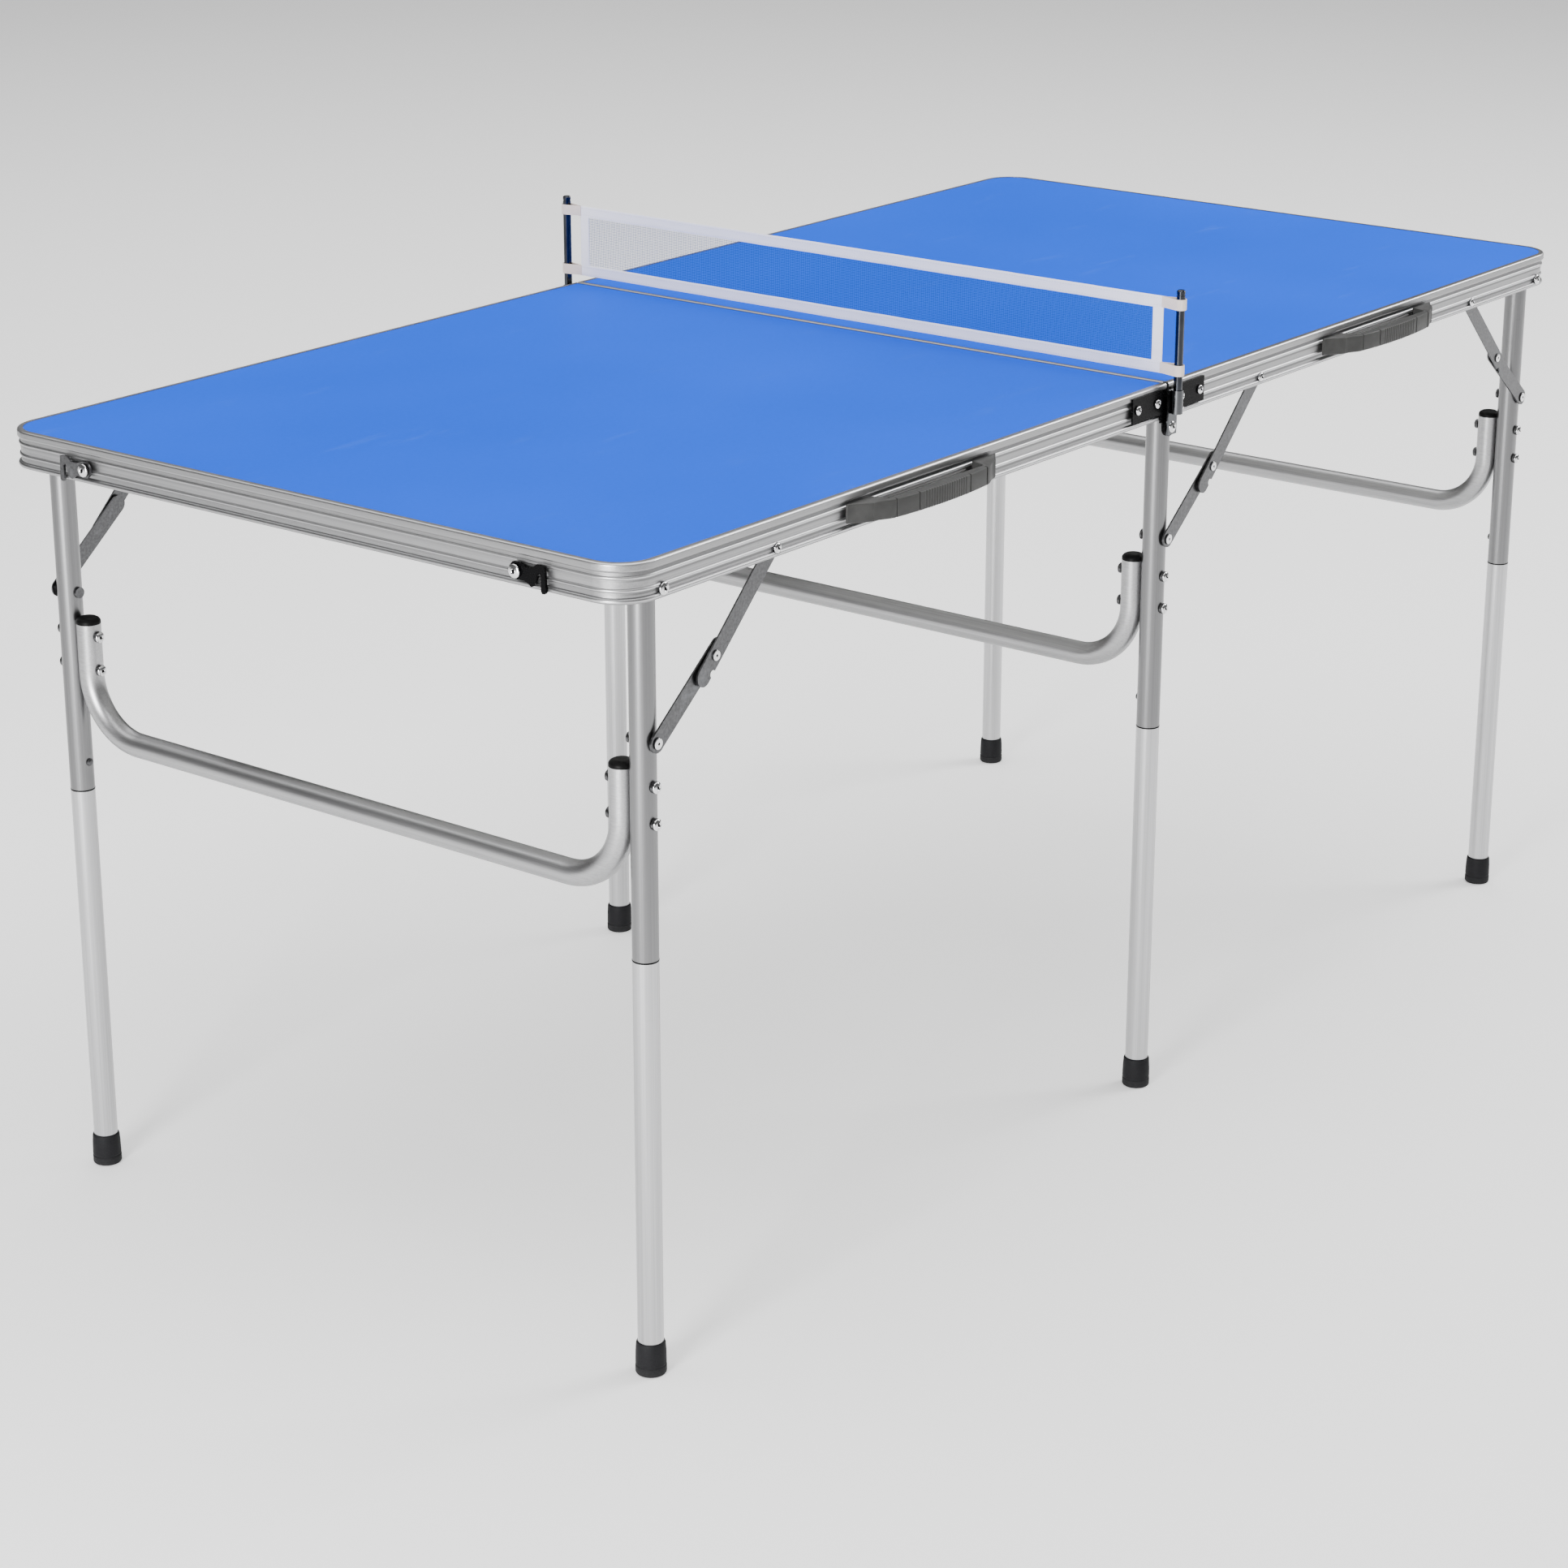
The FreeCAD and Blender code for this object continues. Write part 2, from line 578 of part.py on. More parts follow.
def make_handle(name, middle):
    """A bow handle: a bar that stands off the rail on two blocks with sloping ends."""
    side = -value("table_wide / 2")
    centre, low, thick = value(middle), value("handle_low"), value("handle_high")
    half, inner, outer = value("handle_half"), value("block_inner"), value("block_outer")
    out, bar = value("handle_out"), value("handle_bar")
    grip = plate("z", low, thick, (centre - inner, side - out), [
        ((centre, side - out + 2.0), (centre + inner, side - out)),
        (centre + inner, side - out + bar),
        ((centre, side - out + bar + 2.0), (centre - inner, side - out + bar)),
    ])
    keep(name + "_handle_grip", grip)
    blocks = []
    for way in (-1, 1):
        blocks.append(plate("z", low, thick, (centre + way * inner, side - out), [
            (centre + way * (inner + 8), side - out + 0.6),
            (centre + way * outer, side - out * 0.62),
            (centre + way * half, side - 2),
            (centre + way * half, side - 0.1),
            (centre + way * (inner + 12), side - 0.1),
            (centre + way * (inner + 2), side - out + bar),
            (centre + way * inner, side - out + bar),
        ]))
    keep(name + "_handle_blocks", *blocks)


def hook_outline(side):
    """A latch hook: a plate round its pivot, a nose with an open slot, and a long lower leg."""
    y, z = value("latch_pivot_side"), value("latch_pivot_high")
    points = [
        (-6.5, 3), (-3, 7), (2, 7.2), (10, 4.5), (17, 4.8), (21, 8.5), (30, 8), (31, -12.5),
        (29.5, -14), (27, -14), (26, -12), (26, 0), (24.5, 2), (22.5, 1.5), (21.5, -4),
        (19.5, -9), (16, -10.5), (13, -8.5), (9, -6.5), (-3, -7), (-6.5, -3.5),
    ]
    corners = [(side * (y + across), z + up) for across, up in points]
    return corners[0], corners[1:]


def make_latches(near_rivets):
    end, thick = value("table_long / 2"), value("hook_thick")
    for side_name, side in SIDES:
        start, steps = hook_outline(side)
        y, z = side * value("latch_pivot_side"), value("latch_pivot_high")
        hook = plate("x", -end - 0.6 - thick, thick, start, steps, [(y, z, value("pin_bore"))])
        keep(side_name + "_latch_hook", hook)
        centre = (sideways("latch_pivot_side", side), "latch_pivot_high")
        near_rivets.append(fuse(
            rod("x", centre, ("-(table_long / 2) - 3.4", "-(table_long / 2) + 4"), "pin_thick"),
            rod("x", centre, ("-(table_long / 2) - 5", "-(table_long / 2) - 3.4"), "5.5"),
        ))
    keep("near_frame_rivets", *near_rivets)
    studs = []
    for _, side in SIDES:
        centre = (sideways("stud_side", side), "latch_pivot_high - 2")
        studs.append(fuse(
            rod("x", centre, ("table_long / 2 - 4", "table_long / 2 + 4"), "pin_thick"),
            rod("x", centre, ("table_long / 2 + 3.2", "table_long / 2 + 5"), "5"),
        ))
    keep("latch_studs", *studs)


# ---------------------------------------------------------------- the whole table

doc = FreeCAD.newDocument("folding_table")
sheet = doc.addObject("Spreadsheet::Sheet", "Sizes")
nodes = []
sheet_values = {}
fill_sheet()

make_frames()
make_leg_sets()
rivets = make_hinges()
make_net()
make_handle("near", "-handle_middle")
make_handle("far", "handle_middle")
make_latches(rivets)
doc.recompute()

for item in doc.Objects:
    if "Invalid" in item.State or "Error" in item.State:
        raise RuntimeError("%s (%s) did not build" % (item.Name, item.Label))

os.makedirs("parts", exist_ok=True)
for node in nodes:
    if node.Shape.isNull() or not node.Shape.isValid():
        raise RuntimeError(node.Label + " has no valid shape")
    node.Shape.exportStep("parts/%s.step" % node.Label)
    print("%-28s %2d solids %9.0f mm3" % (node.Label, len(node.Shape.Solids), node.Shape.Volume))
print(len(nodes), "nodes")
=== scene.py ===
import math

import bmesh
import bpy
from mathutils import Matrix, Vector


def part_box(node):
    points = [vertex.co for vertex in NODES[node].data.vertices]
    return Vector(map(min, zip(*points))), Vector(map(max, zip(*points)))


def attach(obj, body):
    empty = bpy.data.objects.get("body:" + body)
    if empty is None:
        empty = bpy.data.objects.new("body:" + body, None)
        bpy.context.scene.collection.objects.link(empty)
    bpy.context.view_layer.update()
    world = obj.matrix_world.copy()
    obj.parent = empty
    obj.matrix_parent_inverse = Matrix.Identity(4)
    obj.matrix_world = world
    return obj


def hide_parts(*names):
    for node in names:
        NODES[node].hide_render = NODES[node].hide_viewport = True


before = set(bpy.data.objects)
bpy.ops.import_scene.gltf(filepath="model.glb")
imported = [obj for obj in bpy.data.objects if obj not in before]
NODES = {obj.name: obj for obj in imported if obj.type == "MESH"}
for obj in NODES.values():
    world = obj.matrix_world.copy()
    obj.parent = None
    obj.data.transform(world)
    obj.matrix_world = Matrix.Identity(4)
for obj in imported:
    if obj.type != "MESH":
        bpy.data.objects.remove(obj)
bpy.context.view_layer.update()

bl_info = {
    "name": "Folding Ping Pong Table",
    "version": (1, 0, 0),
    "blender": (4, 5, 0),
    "location": "3D View > Sidebar > Table",
    "description": "Builds and finishes a folding ping pong table over its engineering frame",
    "category": "Object",
}

SETS = ("near", "centre", "far")
SIDES = (("right", -1), ("left", 1))
HALVES = (("near", "near_half", -1), ("far", "far_half", 1))

# places that no node's box gives, in metres
LEG_TUBE_RADIUS = 0.011
SPIGOT_LENGTH = 0.055
PLUG_HEIGHT = 0.006
BOLT_HEIGHTS = (0.520, 0.489)
BOLT_OUTSIDE, BOLT_INSIDE = 0.3455, 0.2955
PIVOT_OUTSIDE, BRACE_PIN_OUTSIDE = 0.3553, 0.3549
BRACE_REACH = 0.142
KNEE_REACH, KNEE_HEIGHT = 0.06889, 0.61287
LEAF_OUTSIDE, LEAF_HEIGHT, LEAF_RIVETS = 0.3585, 0.6955, (0.020, 0.052)
HINGE_PIN_OUTSIDE, HINGE_PIN_HEIGHT = 0.3620, 0.671
LATCH_PIVOT = (-0.767, 0.246, 0.691)
POST_RADIUS = 0.004
TAPE_WIDTH = 0.011
STRAP_START, STRAP_WIDTH = 0.3468, 0.010


# ---------------------------------------------------------------- sizes and colours


class TableColours(bpy.types.PropertyGroup):
    """Colours of the table's finishes"""
    board: bpy.props.FloatVectorProperty(
        name="Board", description="Paint of the playing boards", subtype="COLOR",
        default=(0.001, 0.084, 0.73))
    aluminium: bpy.props.FloatVectorProperty(
        name="Aluminium", description="Frame rails and leg tubes", subtype="COLOR",
        default=(0.27, 0.27, 0.274))
    steel: bpy.props.FloatVectorProperty(
        name="Steel", description="Braces, bolts and rivets", subtype="COLOR",
        default=(0.098, 0.098, 0.101))
    rubber: bpy.props.FloatVectorProperty(
        name="Rubber", description="Feet", subtype="COLOR", default=(0.008, 0.008, 0.009))
    handle: bpy.props.FloatVectorProperty(
        name="Handle", description="Moulded carrying handles", subtype="COLOR",
        default=(0.034, 0.034, 0.033))
    tape: bpy.props.FloatVectorProperty(
        name="Tape", description="Border of the net", subtype="COLOR",
        default=(0.92, 0.91, 0.98))
    strap: bpy.props.FloatVectorProperty(
        name="Strap", description="Loops that hold the net on its posts", subtype="COLOR",
        default=(0.80, 0.70, 0.64))
    thread: bpy.props.FloatVectorProperty(
        name="Thread", description="Threads of the net", subtype="COLOR",
        default=(0.0005, 0.055, 0.30))


class TableSizes(bpy.types.PropertyGroup):
    """Sizes of the fine detail and of the stage"""
    mesh_pitch: bpy.props.FloatProperty(
        name="Mesh pitch", description="Distance between the net's threads", unit="LENGTH",
        default=0.0016, min=0.0008)
    thread_share: bpy.props.FloatProperty(
        name="Thread share", description="Width of a thread as a share of the pitch",
        subtype="FACTOR", default=0.24, min=0.05, max=0.9)
    rib_pitch: bpy.props.FloatProperty(
        name="Rib pitch", description="Distance between the ribs on a handle", unit="LENGTH",
        default=0.0035, min=0.001)
    dome_height: bpy.props.FloatProperty(
        name="Dome height", description="How far a rivet's head is domed", unit="LENGTH",
        default=0.0011, min=0.0001)
    floor_size: bpy.props.FloatProperty(
        name="Floor size", description="Side of the studio floor", unit="LENGTH", default=400.0)


# ---------------------------------------------------------------- shader sockets


class Wire:
    """An output socket that takes part in Python arithmetic."""

    def __init__(self, tree, socket=None):
        self.tree = tree
        self.socket = socket

    def node(self, kind, settings=None, inputs=None, out=0):
        """Add a node: its settings first, then what its input sockets hold or are linked to."""
        node = self.tree.nodes.new(kind)
        for name, setting in (settings or {}).items():
            setattr(node, name, setting)
        for name, given in (inputs or {}).items():
            if isinstance(given, Wire):
                self.tree.links.new(given.socket, node.inputs[name])
            else:
                node.inputs[name].default_value = given
        return Wire(self.tree, node.outputs[out])

    def math(self, operation, *values):
        """A Math node on numbers and sockets."""
        return self.node("ShaderNodeMath", {"operation": operation}, dict(enumerate(values)))

    def __add__(self, other):
        return self.math("ADD", self, other)

    def __sub__(self, other):
        return self.math("SUBTRACT", self, other)

    def __rsub__(self, other):
        return self.math("SUBTRACT", other, self)

    def __mul__(self, other):
        return self.math("MULTIPLY", self, other)

    __radd__ = __add__
    __rmul__ = __mul__


class Finish:
    """A material under construction, with the node shortcuts that the finishes share."""

    def __init__(self, name):
        self.material = bpy.data.materials.new(name)
        self.material.use_nodes = True
        tree = self.material.node_tree
        self.surface = next(n for n in tree.nodes if n.type == "BSDF_PRINCIPLED")
        self.wire = Wire(tree)
        self.place = self.wire.node("ShaderNodeTexCoord", out="Object")
        self.facing = self.wire.node("ShaderNodeTexCoord", out="Normal")

    def noise(self, stretch, detail=3.0, rough=0.55):
        """Noise in metres, stretched differently along X, Y and Z."""
        where = self.wire.node(
            "ShaderNodeVectorMath", {"operation": "MULTIPLY"}, {0: self.place, 1: stretch})
        return self.wire.node(
            "ShaderNodeTexNoise", None,
            {"Vector": where, "Scale": 1.0, "Detail": detail, "Roughness": rough}, "Fac")

    def part(self, vector, letter):
        """The X, Y or Z of a vector."""
        return self.wire.node("ShaderNodeSeparateXYZ", None, {"Vector": vector}, letter)

    def spread(self, value, low, high, to_low=0.0, to_high=1.0):
        """A value carried from one range to another, and held at its ends."""
        return self.wire.node("ShaderNodeMapRange", {"clamp": True}, {
            "Value": value, "From Min": low, "From Max": high,
            "To Min": to_low, "To Max": to_high})

    def blend(self, share, first, second):
        """A mix of two colours."""
        return self.wire.node("ShaderNodeMix", {"data_type": "RGBA"}, {
            "Factor": share, "A": first, "B": second}, 2)

    def bump(self, height, strength, distance, under=None):
        """A normal from a height, on top of another bump if one is given."""
        inputs = {"Height": height, "Strength": strength, "Distance": distance}
        if under is not None:
            inputs["Normal"] = under
        return self.wire.node("ShaderNodeBump", None, inputs)

    def done(self, **sockets):
        """Set or link the surface's sockets; names are written with _ for a space."""
        for name, given in sockets.items():
            socket = self.surface.inputs[name.replace("_", " ")]
            if isinstance(given, Wire):
                self.wire.tree.links.new(given.socket, socket)
            else:
                socket.default_value = given
        return self.material


def tint(colour, gain=1.0):
    """A colour made lighter or darker, with its alpha."""
    return tuple(min(1.0, c * gain) for c in colour) + (1.0,)


def colours():
    """The table's colours, as the scene holds them."""
    return bpy.context.scene.table_colours


def sizes():
    """The table's sizes, as the scene holds them."""
    return bpy.context.scene.table_sizes


# ---------------------------------------------------------------- finishes


def board_paint():
    """Satin paint on fibreboard: orange peel, faint clouds, rub marks and a bare grey underside."""
    f = Finish("board_paint")
    cloud = f.noise((2.2, 2.6, 1.0), 2.0)
    grain = f.noise((320.0, 320.0, 320.0), 2.0)
    peel = f.noise((900.0, 900.0, 900.0), 1.5)
    rub = f.spread(f.noise((9.0, 38.0, 5.0), 6.0, 0.7), 0.60, 0.74)
    paint = colours().board
    base = f.blend(f.spread(cloud, 0.3, 0.7), tint(paint, 0.93), tint(paint, 1.07))
    base = f.blend(f.spread(grain, 0.35, 0.75, 0.0, 0.10), base, tint(paint, 1.5))
    base = f.blend(rub * 0.05, base, (0.30, 0.45, 0.82, 1.0))
    under = f.spread(f.part(f.facing, "Z"), -0.8, -0.5, 1.0, 0.0)
    pulp = f.blend(f.noise((140.0, 30.0, 140.0), 5.0, 0.7),
                   (0.34, 0.34, 0.33, 1.0), (0.46, 0.46, 0.45, 1.0))
    base = f.blend(under, base, pulp)
    rough = 0.46 + cloud * 0.06 + grain * 0.05 + rub * 0.07 + under * 0.25
    normal = f.bump(peel, 0.10, 0.00025)
    return f.done(Base_Color=base, Roughness=rough, Normal=normal, Specular_IOR_Level=0.02)


def end_share(f):
    """1 on the faces of the short ends, which look along X, and 0 on the long sides."""
    return f.spread(f.wire.math("ABSOLUTE", f.part(f.facing, "X")), 0.45, 0.8)


def brushed_lines(f, fine):
    """Brushing that follows the rail: along X on the long sides and along Y on the ends."""
    along_x = f.noise((1.6, fine, fine), 3.0, 0.6)
    along_y = f.noise((fine, 1.6, fine), 3.0, 0.6)
    on_end = end_share(f)
    return along_x * (1.0 - on_end) + along_y * on_end


def rail_metal():
    """Mill-finished extrusion: drawn lines, small nicks, painted highlight on the crests and
    painted shade in the grooves.
    """
    f = Finish("rail_metal")
    lines = brushed_lines(f, 1500.0)
    broad = brushed_lines(f, 260.0)
    film = f.noise((7.0, 7.0, 60.0), 3.0)
    nick = f.spread(f.noise((130.0, 130.0, 420.0), 2.0), 0.70, 0.78)
    metal = colours().aluminium
    base = f.blend(f.spread(lines, 0.25, 0.75), tint(metal, 0.92), tint(metal, 1.45))
    base = f.blend(f.spread(broad, 0.4, 0.7, 0.0, 0.4), base, tint(metal, 0.95))
    base = f.blend(nick * 0.35, base, tint(metal, 0.55))
    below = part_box("far_side_frame")[1].z - f.part(f.place, "Z")

    def band(middle, half):
        """1 in a band this far below the top of the rail, and 0 outside it."""
        return f.spread(f.wire.math("ABSOLUTE", below - middle), half * 0.6, half, 1.0, 0.0)

    # painted highlight: bright bands along the rib crests and the rounded top and bottom lips
    crest_painted_highlight = (band(0.0010, 0.0009) + band(0.0122, 0.0013)
             + band(0.0225, 0.0014) + band(0.0305, 0.0010))
    # painted shade: dark bands in the grooves under the top lip and under each rib
    groove = band(0.0090, 0.0018) + band(0.0149, 0.0009) + band(0.0254, 0.0010)
    # the painted highlight and shade are kept weaker on the short ends
    painted_light_share = 1.0 - end_share(f) * 0.7
    base = f.blend(crest_painted_highlight * painted_light_share * 0.75, base, tint(metal, 2.6))
    base = f.blend(groove * painted_light_share * 0.5, base, tint(metal, 0.30))
    rough = 0.25 + lines * 0.14 + film * 0.10 + nick * 0.15 + groove * 0.1
    normal = f.bump(lines, 0.16, 0.0002)
    return f.done(Base_Color=base, Metallic=1.0, Roughness=rough, Normal=normal)


# the default gain of 0.70 darkens the upper leg tubes as painted shade; the plug-in tubes get a
# paler copy as painted light
def tube_metal(name="tube_metal", gain=0.70):
    """Anodised tube: a soft sheen, fine drawn lines down the tube and light handling marks."""
    f = Finish(name)
    drawn = f.noise((900.0, 900.0, 3.0), 2.5)
    film = f.noise((22.0, 22.0, 7.0), 3.0)
    scuff = f.spread(f.noise((60.0, 60.0, 260.0), 5.0, 0.7), 0.63, 0.76)
    metal = colours().aluminium
    base = f.blend(f.spread(drawn, 0.3, 0.7), tint(metal, 0.90 * gain), tint(metal, 1.12 * gain))
    base = f.blend(scuff * 0.25, base, tint(metal, 0.72 * gain))
    rough = 0.23 + film * 0.10 + drawn * 0.06 + scuff * 0.12
    normal = f.bump(drawn, 0.08, 0.0002)
    return f.done(Base_Color=base, Metallic=1.0, Roughness=rough, Normal=normal)


def lower_tube_metal_painted_light():
    """The same tube made paler, as painted light on the plug-in tubes."""
    return tube_metal("lower_tube_metal_painted_light", 1.75)


def cross_metal():
    """The same tube with its drawn lines running across the table."""
    f = Finish("cross_metal")
    drawn = f.noise((900.0, 4.0, 900.0), 2.5)
    film = f.noise((18.0, 6.0, 18.0), 3.0)
    metal = colours().aluminium
    base = f.blend(f.spread(drawn, 0.3, 0.7), tint(metal, 1.25), tint(metal, 1.6))
    base = f.blend(f.spread(film, 0.5, 0.8, 0.0, 0.25), base, tint(metal, 0.82))
    rough = 0.27 + film * 0.14 + drawn * 0.05
    normal = f.bump(drawn, 0.08, 0.0002)
    return f.done(Base_Color=base, Metallic=1.0, Roughness=rough, Normal=normal)


def zinc_steel():
    """Zinc-plated strip and fasteners: blue-grey spangle, rolled lines and dull spots."""
    f = Finish("zinc_steel")
    spangle = f.noise((420.0, 420.0, 420.0), 2.0)
    rolled = f.noise((500.0, 60.0, 700.0), 2.0)
    dull = f.spread(f.noise((55.0, 55.0, 55.0), 4.0, 0.65), 0.55, 0.72)
    steel = colours().steel
    base = f.blend(f.spread(spangle, 0.35, 0.7), tint(steel, 0.82), tint(steel, 1.22))
    base = f.blend(dull * 0.3, base, (0.30, 0.31, 0.33, 1.0))
    rough = 0.24 + spangle * 0.12 + dull * 0.16
    normal = f.bump(rolled, 0.10, 0.0002)
    return f.done(Base_Color=base, Metallic=1.0, Roughness=rough, Normal=normal)


def rivet_chrome():
    """Nickel-plated rivet heads: bright, with soft forming rings and tarnish in places."""
    f = Finish("rivet_chrome")
    rings = f.noise((700.0, 700.0, 700.0), 2.0)
    tarnish = f.spread(f.noise((210.0, 210.0, 210.0), 4.0, 0.65), 0.5, 0.75)
    base = f.blend(tarnish * 0.5, (0.74, 0.74, 0.75, 1.0), (0.34, 0.34, 0.33, 1.0))
    rough = 0.10 + rings * 0.08 + tarnish * 0.15
    return f.done(Base_Color=base, Metallic=1.0, Roughness=rough,
                  Normal=f.bump(rings, 0.06, 0.0002))


def black_enamel():
    """Stove enamel on steel plate: slight orange peel and grey rubbed patches."""
    f = Finish("black_enamel")
    peel = f.noise((700.0, 700.0, 700.0), 1.5)
    worn = f.spread(f.noise((90.0, 90.0, 90.0), 5.0, 0.7), 0.64, 0.74)
    base = f.blend(worn * 0.3, (0.0015, 0.0015, 0.0018, 1.0), (0.02, 0.02, 0.021, 1.0))
    rough = 0.22 + peel * 0.10 + worn * 0.22
    return f.done(Base_Color=base, Roughness=rough, Normal=f.bump(peel, 0.14, 0.0003),
                  Specular_IOR_Level=0.05)


def post_chrome():
    """Dark chromed rod: faint turning rings and finger haze."""
    f = Finish("post_chrome")
    rings = f.noise((5.0, 5.0, 1100.0), 2.0)
    haze = f.noise((30.0, 30.0, 22.0), 3.0)
    base = f.blend(f.spread(haze, 0.35, 0.7), (0.030, 0.032, 0.038, 1.0), (0.075, 0.08, 0.09, 1.0))
    rough = 0.10 + haze * 0.10 + rings * 0.03
    return f.done(Base_Color=base, Metallic=1.0, Roughness=rough,
                  Normal=f.bump(rings, 0.05, 0.0001))


def bracket_chrome():
    """Bright plated pressing: soft press marks and haze."""
    f = Finish("bracket_chrome")
    press = f.noise((160.0, 160.0, 160.0), 2.0)
    haze = f.noise((45.0, 45.0, 45.0), 3.0)
    base = f.blend(haze, (0.05, 0.052, 0.056, 1.0), (0.13, 0.134, 0.14, 1.0))
    rough = 0.12 + haze * 0.14
    return f.done(Base_Color=base, Metallic=1.0, Roughness=rough,
                  Normal=f.bump(press, 0.08, 0.0004))


def foot_rubber():
    """Moulded rubber: matt, finely pitted, greyed by dust near the floor."""
    f = Finish("foot_rubber")
    pits = f.noise((1300.0, 1300.0, 1300.0), 2.0)
    height = f.part(f.place, "Z")
    dust = f.spread(height, 0.0, 0.012, 1.0, 0.0) * f.noise((260.0, 260.0, 260.0), 3.0)
    rubber = colours().rubber
    base = f.blend(f.spread(pits, 0.3, 0.8), tint(rubber, 0.8), tint(rubber, 1.8))
    base = f.blend(dust * 0.25, base, (0.07, 0.07, 0.067, 1.0))
    rough = 0.50 + pits * 0.20 + dust * 0.2
    return f.done(Base_Color=base, Roughness=rough, Normal=f.bump(pits, 0.22, 0.0003),
                  Specular_IOR_Level=0.12)


def plug_plastic():
    """Black injection moulding: spark-eroded texture with a slight sheen."""
    f = Finish("plug_plastic")
    spark = f.noise((1100.0, 1100.0, 1100.0), 2.0)
    flow = f.noise((70.0, 70.0, 200.0), 2.0)
    base = f.blend(flow, (0.002, 0.002, 0.002, 1.0), (0.006, 0.006, 0.006, 1.0))
    rough = 0.34 + spark * 0.18
    return f.done(Base_Color=base, Roughness=rough, Normal=f.bump(spark, 0.2, 0.0003),
                  Specular_IOR_Level=0.08)


def handle_plastic():
    """Grey moulded nylon: fine texture, flow marks and a greasy shine where it is held."""
    f = Finish("handle_plastic")
    spark = f.noise((1500.0, 1500.0, 1500.0), 2.0)
    flow = f.noise((26.0, 140.0, 90.0), 3.0)
    held = f.spread(f.noise((34.0, 34.0, 34.0), 3.0), 0.45, 0.65)
    grey = colours().handle
    base = f.blend(f.spread(flow, 0.3, 0.7), tint(grey, 0.82), tint(grey, 1.15))
    base = f.blend(f.spread(spark, 0.45, 0.8, 0.0, 0.16), base, tint(grey, 1.9))
    rough = 0.46 + spark * 0.16 - held * 0.08
    return f.done(Base_Color=base, Roughness=rough, Normal=f.bump(spark, 0.18, 0.0003),
                  Specular_IOR_Level=0.3)


def woven(f, across, along, pitch):
    """Plain weave of two thread directions, as a height from 0 to 1."""
    turn = 2.0 * math.pi / pitch
    warp = f.wire.math("SINE", across * turn)
    weft = f.wire.math("SINE", along * turn)
    return f.spread(warp * weft, -1.0, 1.0)


def tape_fabric():
    """Woven polyester binding: plain weave, two rows of stitches and a little soiling."""
    f = Finish("tape_fabric")
    along, up = f.part(f.place, "Y"), f.part(f.place, "Z")
    weave = woven(f, along, up, 0.0009)
    low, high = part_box("net_tape")
    rows = None
    for level in (low.z + 0.0022, low.z + 0.0088, high.z - 0.0022, high.z - 0.0088):
        away = f.wire.math("ABSOLUTE", up - level)
        row = f.spread(away, 0.0002, 0.0006, 1.0, 0.0)
        rows = row if rows is None else f.wire.math("MAXIMUM", rows, row)
    stitch = rows * f.spread(f.wire.math("SINE", along * (2.0 * math.pi / 0.003)), -0.2, 0.4)
    soil = f.noise((40.0, 26.0, 90.0), 4.0, 0.6)
    cloth = colours().tape
    base = f.blend(weave, tint(cloth, 0.90), tint(cloth, 1.04))
    base = f.blend(f.spread(soil, 0.5, 0.8, 0.0, 0.22), base, (0.60, 0.58, 0.62, 1.0))
    base = f.blend(stitch * 0.45, base, (0.62, 0.61, 0.72, 1.0))
    normal = f.bump(weave, 0.25, 0.0002, f.bump(stitch, 0.5, 0.0004))
    return f.done(Base_Color=base, Roughness=0.78 + weave * 0.12, Normal=normal,
                  Sheen_Weight=0.25, Sheen_Roughness=0.5)


def strap_webbing():
    """Cotton webbing: coarse diagonal weave with yellowed fuzz."""
    f = Finish("strap_webbing")
    around, up = f.part(f.place, "X") + f.part(f.place, "Y"), f.part(f.place, "Z")
    weave = woven(f, around + up, up - around, 0.0014)
    fuzz = f.noise((900.0, 900.0, 900.0), 3.0)
    cloth = colours().strap
    base = f.blend(weave, tint(cloth, 0.82), tint(cloth, 1.08))
    base = f.blend(fuzz * 0.25, base, (0.55, 0.45, 0.38, 1.0))
    return f.done(Base_Color=base, Roughness=0.82 + fuzz * 0.1,
                  Normal=f.bump(weave, 0.5, 0.0004), Sheen_Weight=0.3)


def net_thread():
    """Fine knitted mesh: threads across and along, open between them."""
    f = Finish("net_thread")
    pitch, share = sizes().mesh_pitch, sizes().thread_share
    along, up = f.part(f.place, "Y"), f.part(f.place, "Z")
    lines = []
    for value in (along, up):
        wave = f.wire.math("COSINE", value * (2.0 * math.pi / pitch))
        edge = math.cos(math.pi * share)
        lines.append(f.spread(wave, edge - 0.18, edge + 0.18))
    cover = f.wire.math("MAXIMUM", lines[0], lines[1])
    twist = f.noise((700.0, 700.0, 2400.0), 2.0)
    base = f.blend(twist, tint(colours().thread, 0.8), tint(colours().thread, 1.25))
    return f.done(Base_Color=base, Roughness=0.7 + twist * 0.15, Alpha=cover * 0.92,
                  Normal=f.bump(cover, 0.4, 0.0003), Specular_IOR_Level=0.25)


MADE = {}


def finish_of(recipe):
    """One material for each finish, made when it is first wanted."""
    if recipe.__name__ not in MADE:
        MADE[recipe.__name__] = recipe()
    return MADE[recipe.__name__]


def coat(obj, recipe):
    """Give a new piece its finish."""
    obj.data.materials.clear()
    obj.data.materials.append(finish_of(recipe))


def coat_nodes(recipe, *names):
    """Give carried-over nodes their finish."""
    for name in names:
        node = NODES[name]
        for slot in node.material_slots:
            slot.material = finish_of(recipe)
        if not node.material_slots:
            node.data.materials.append(finish_of(recipe))


# ---------------------------------------------------------------- mesh helpers


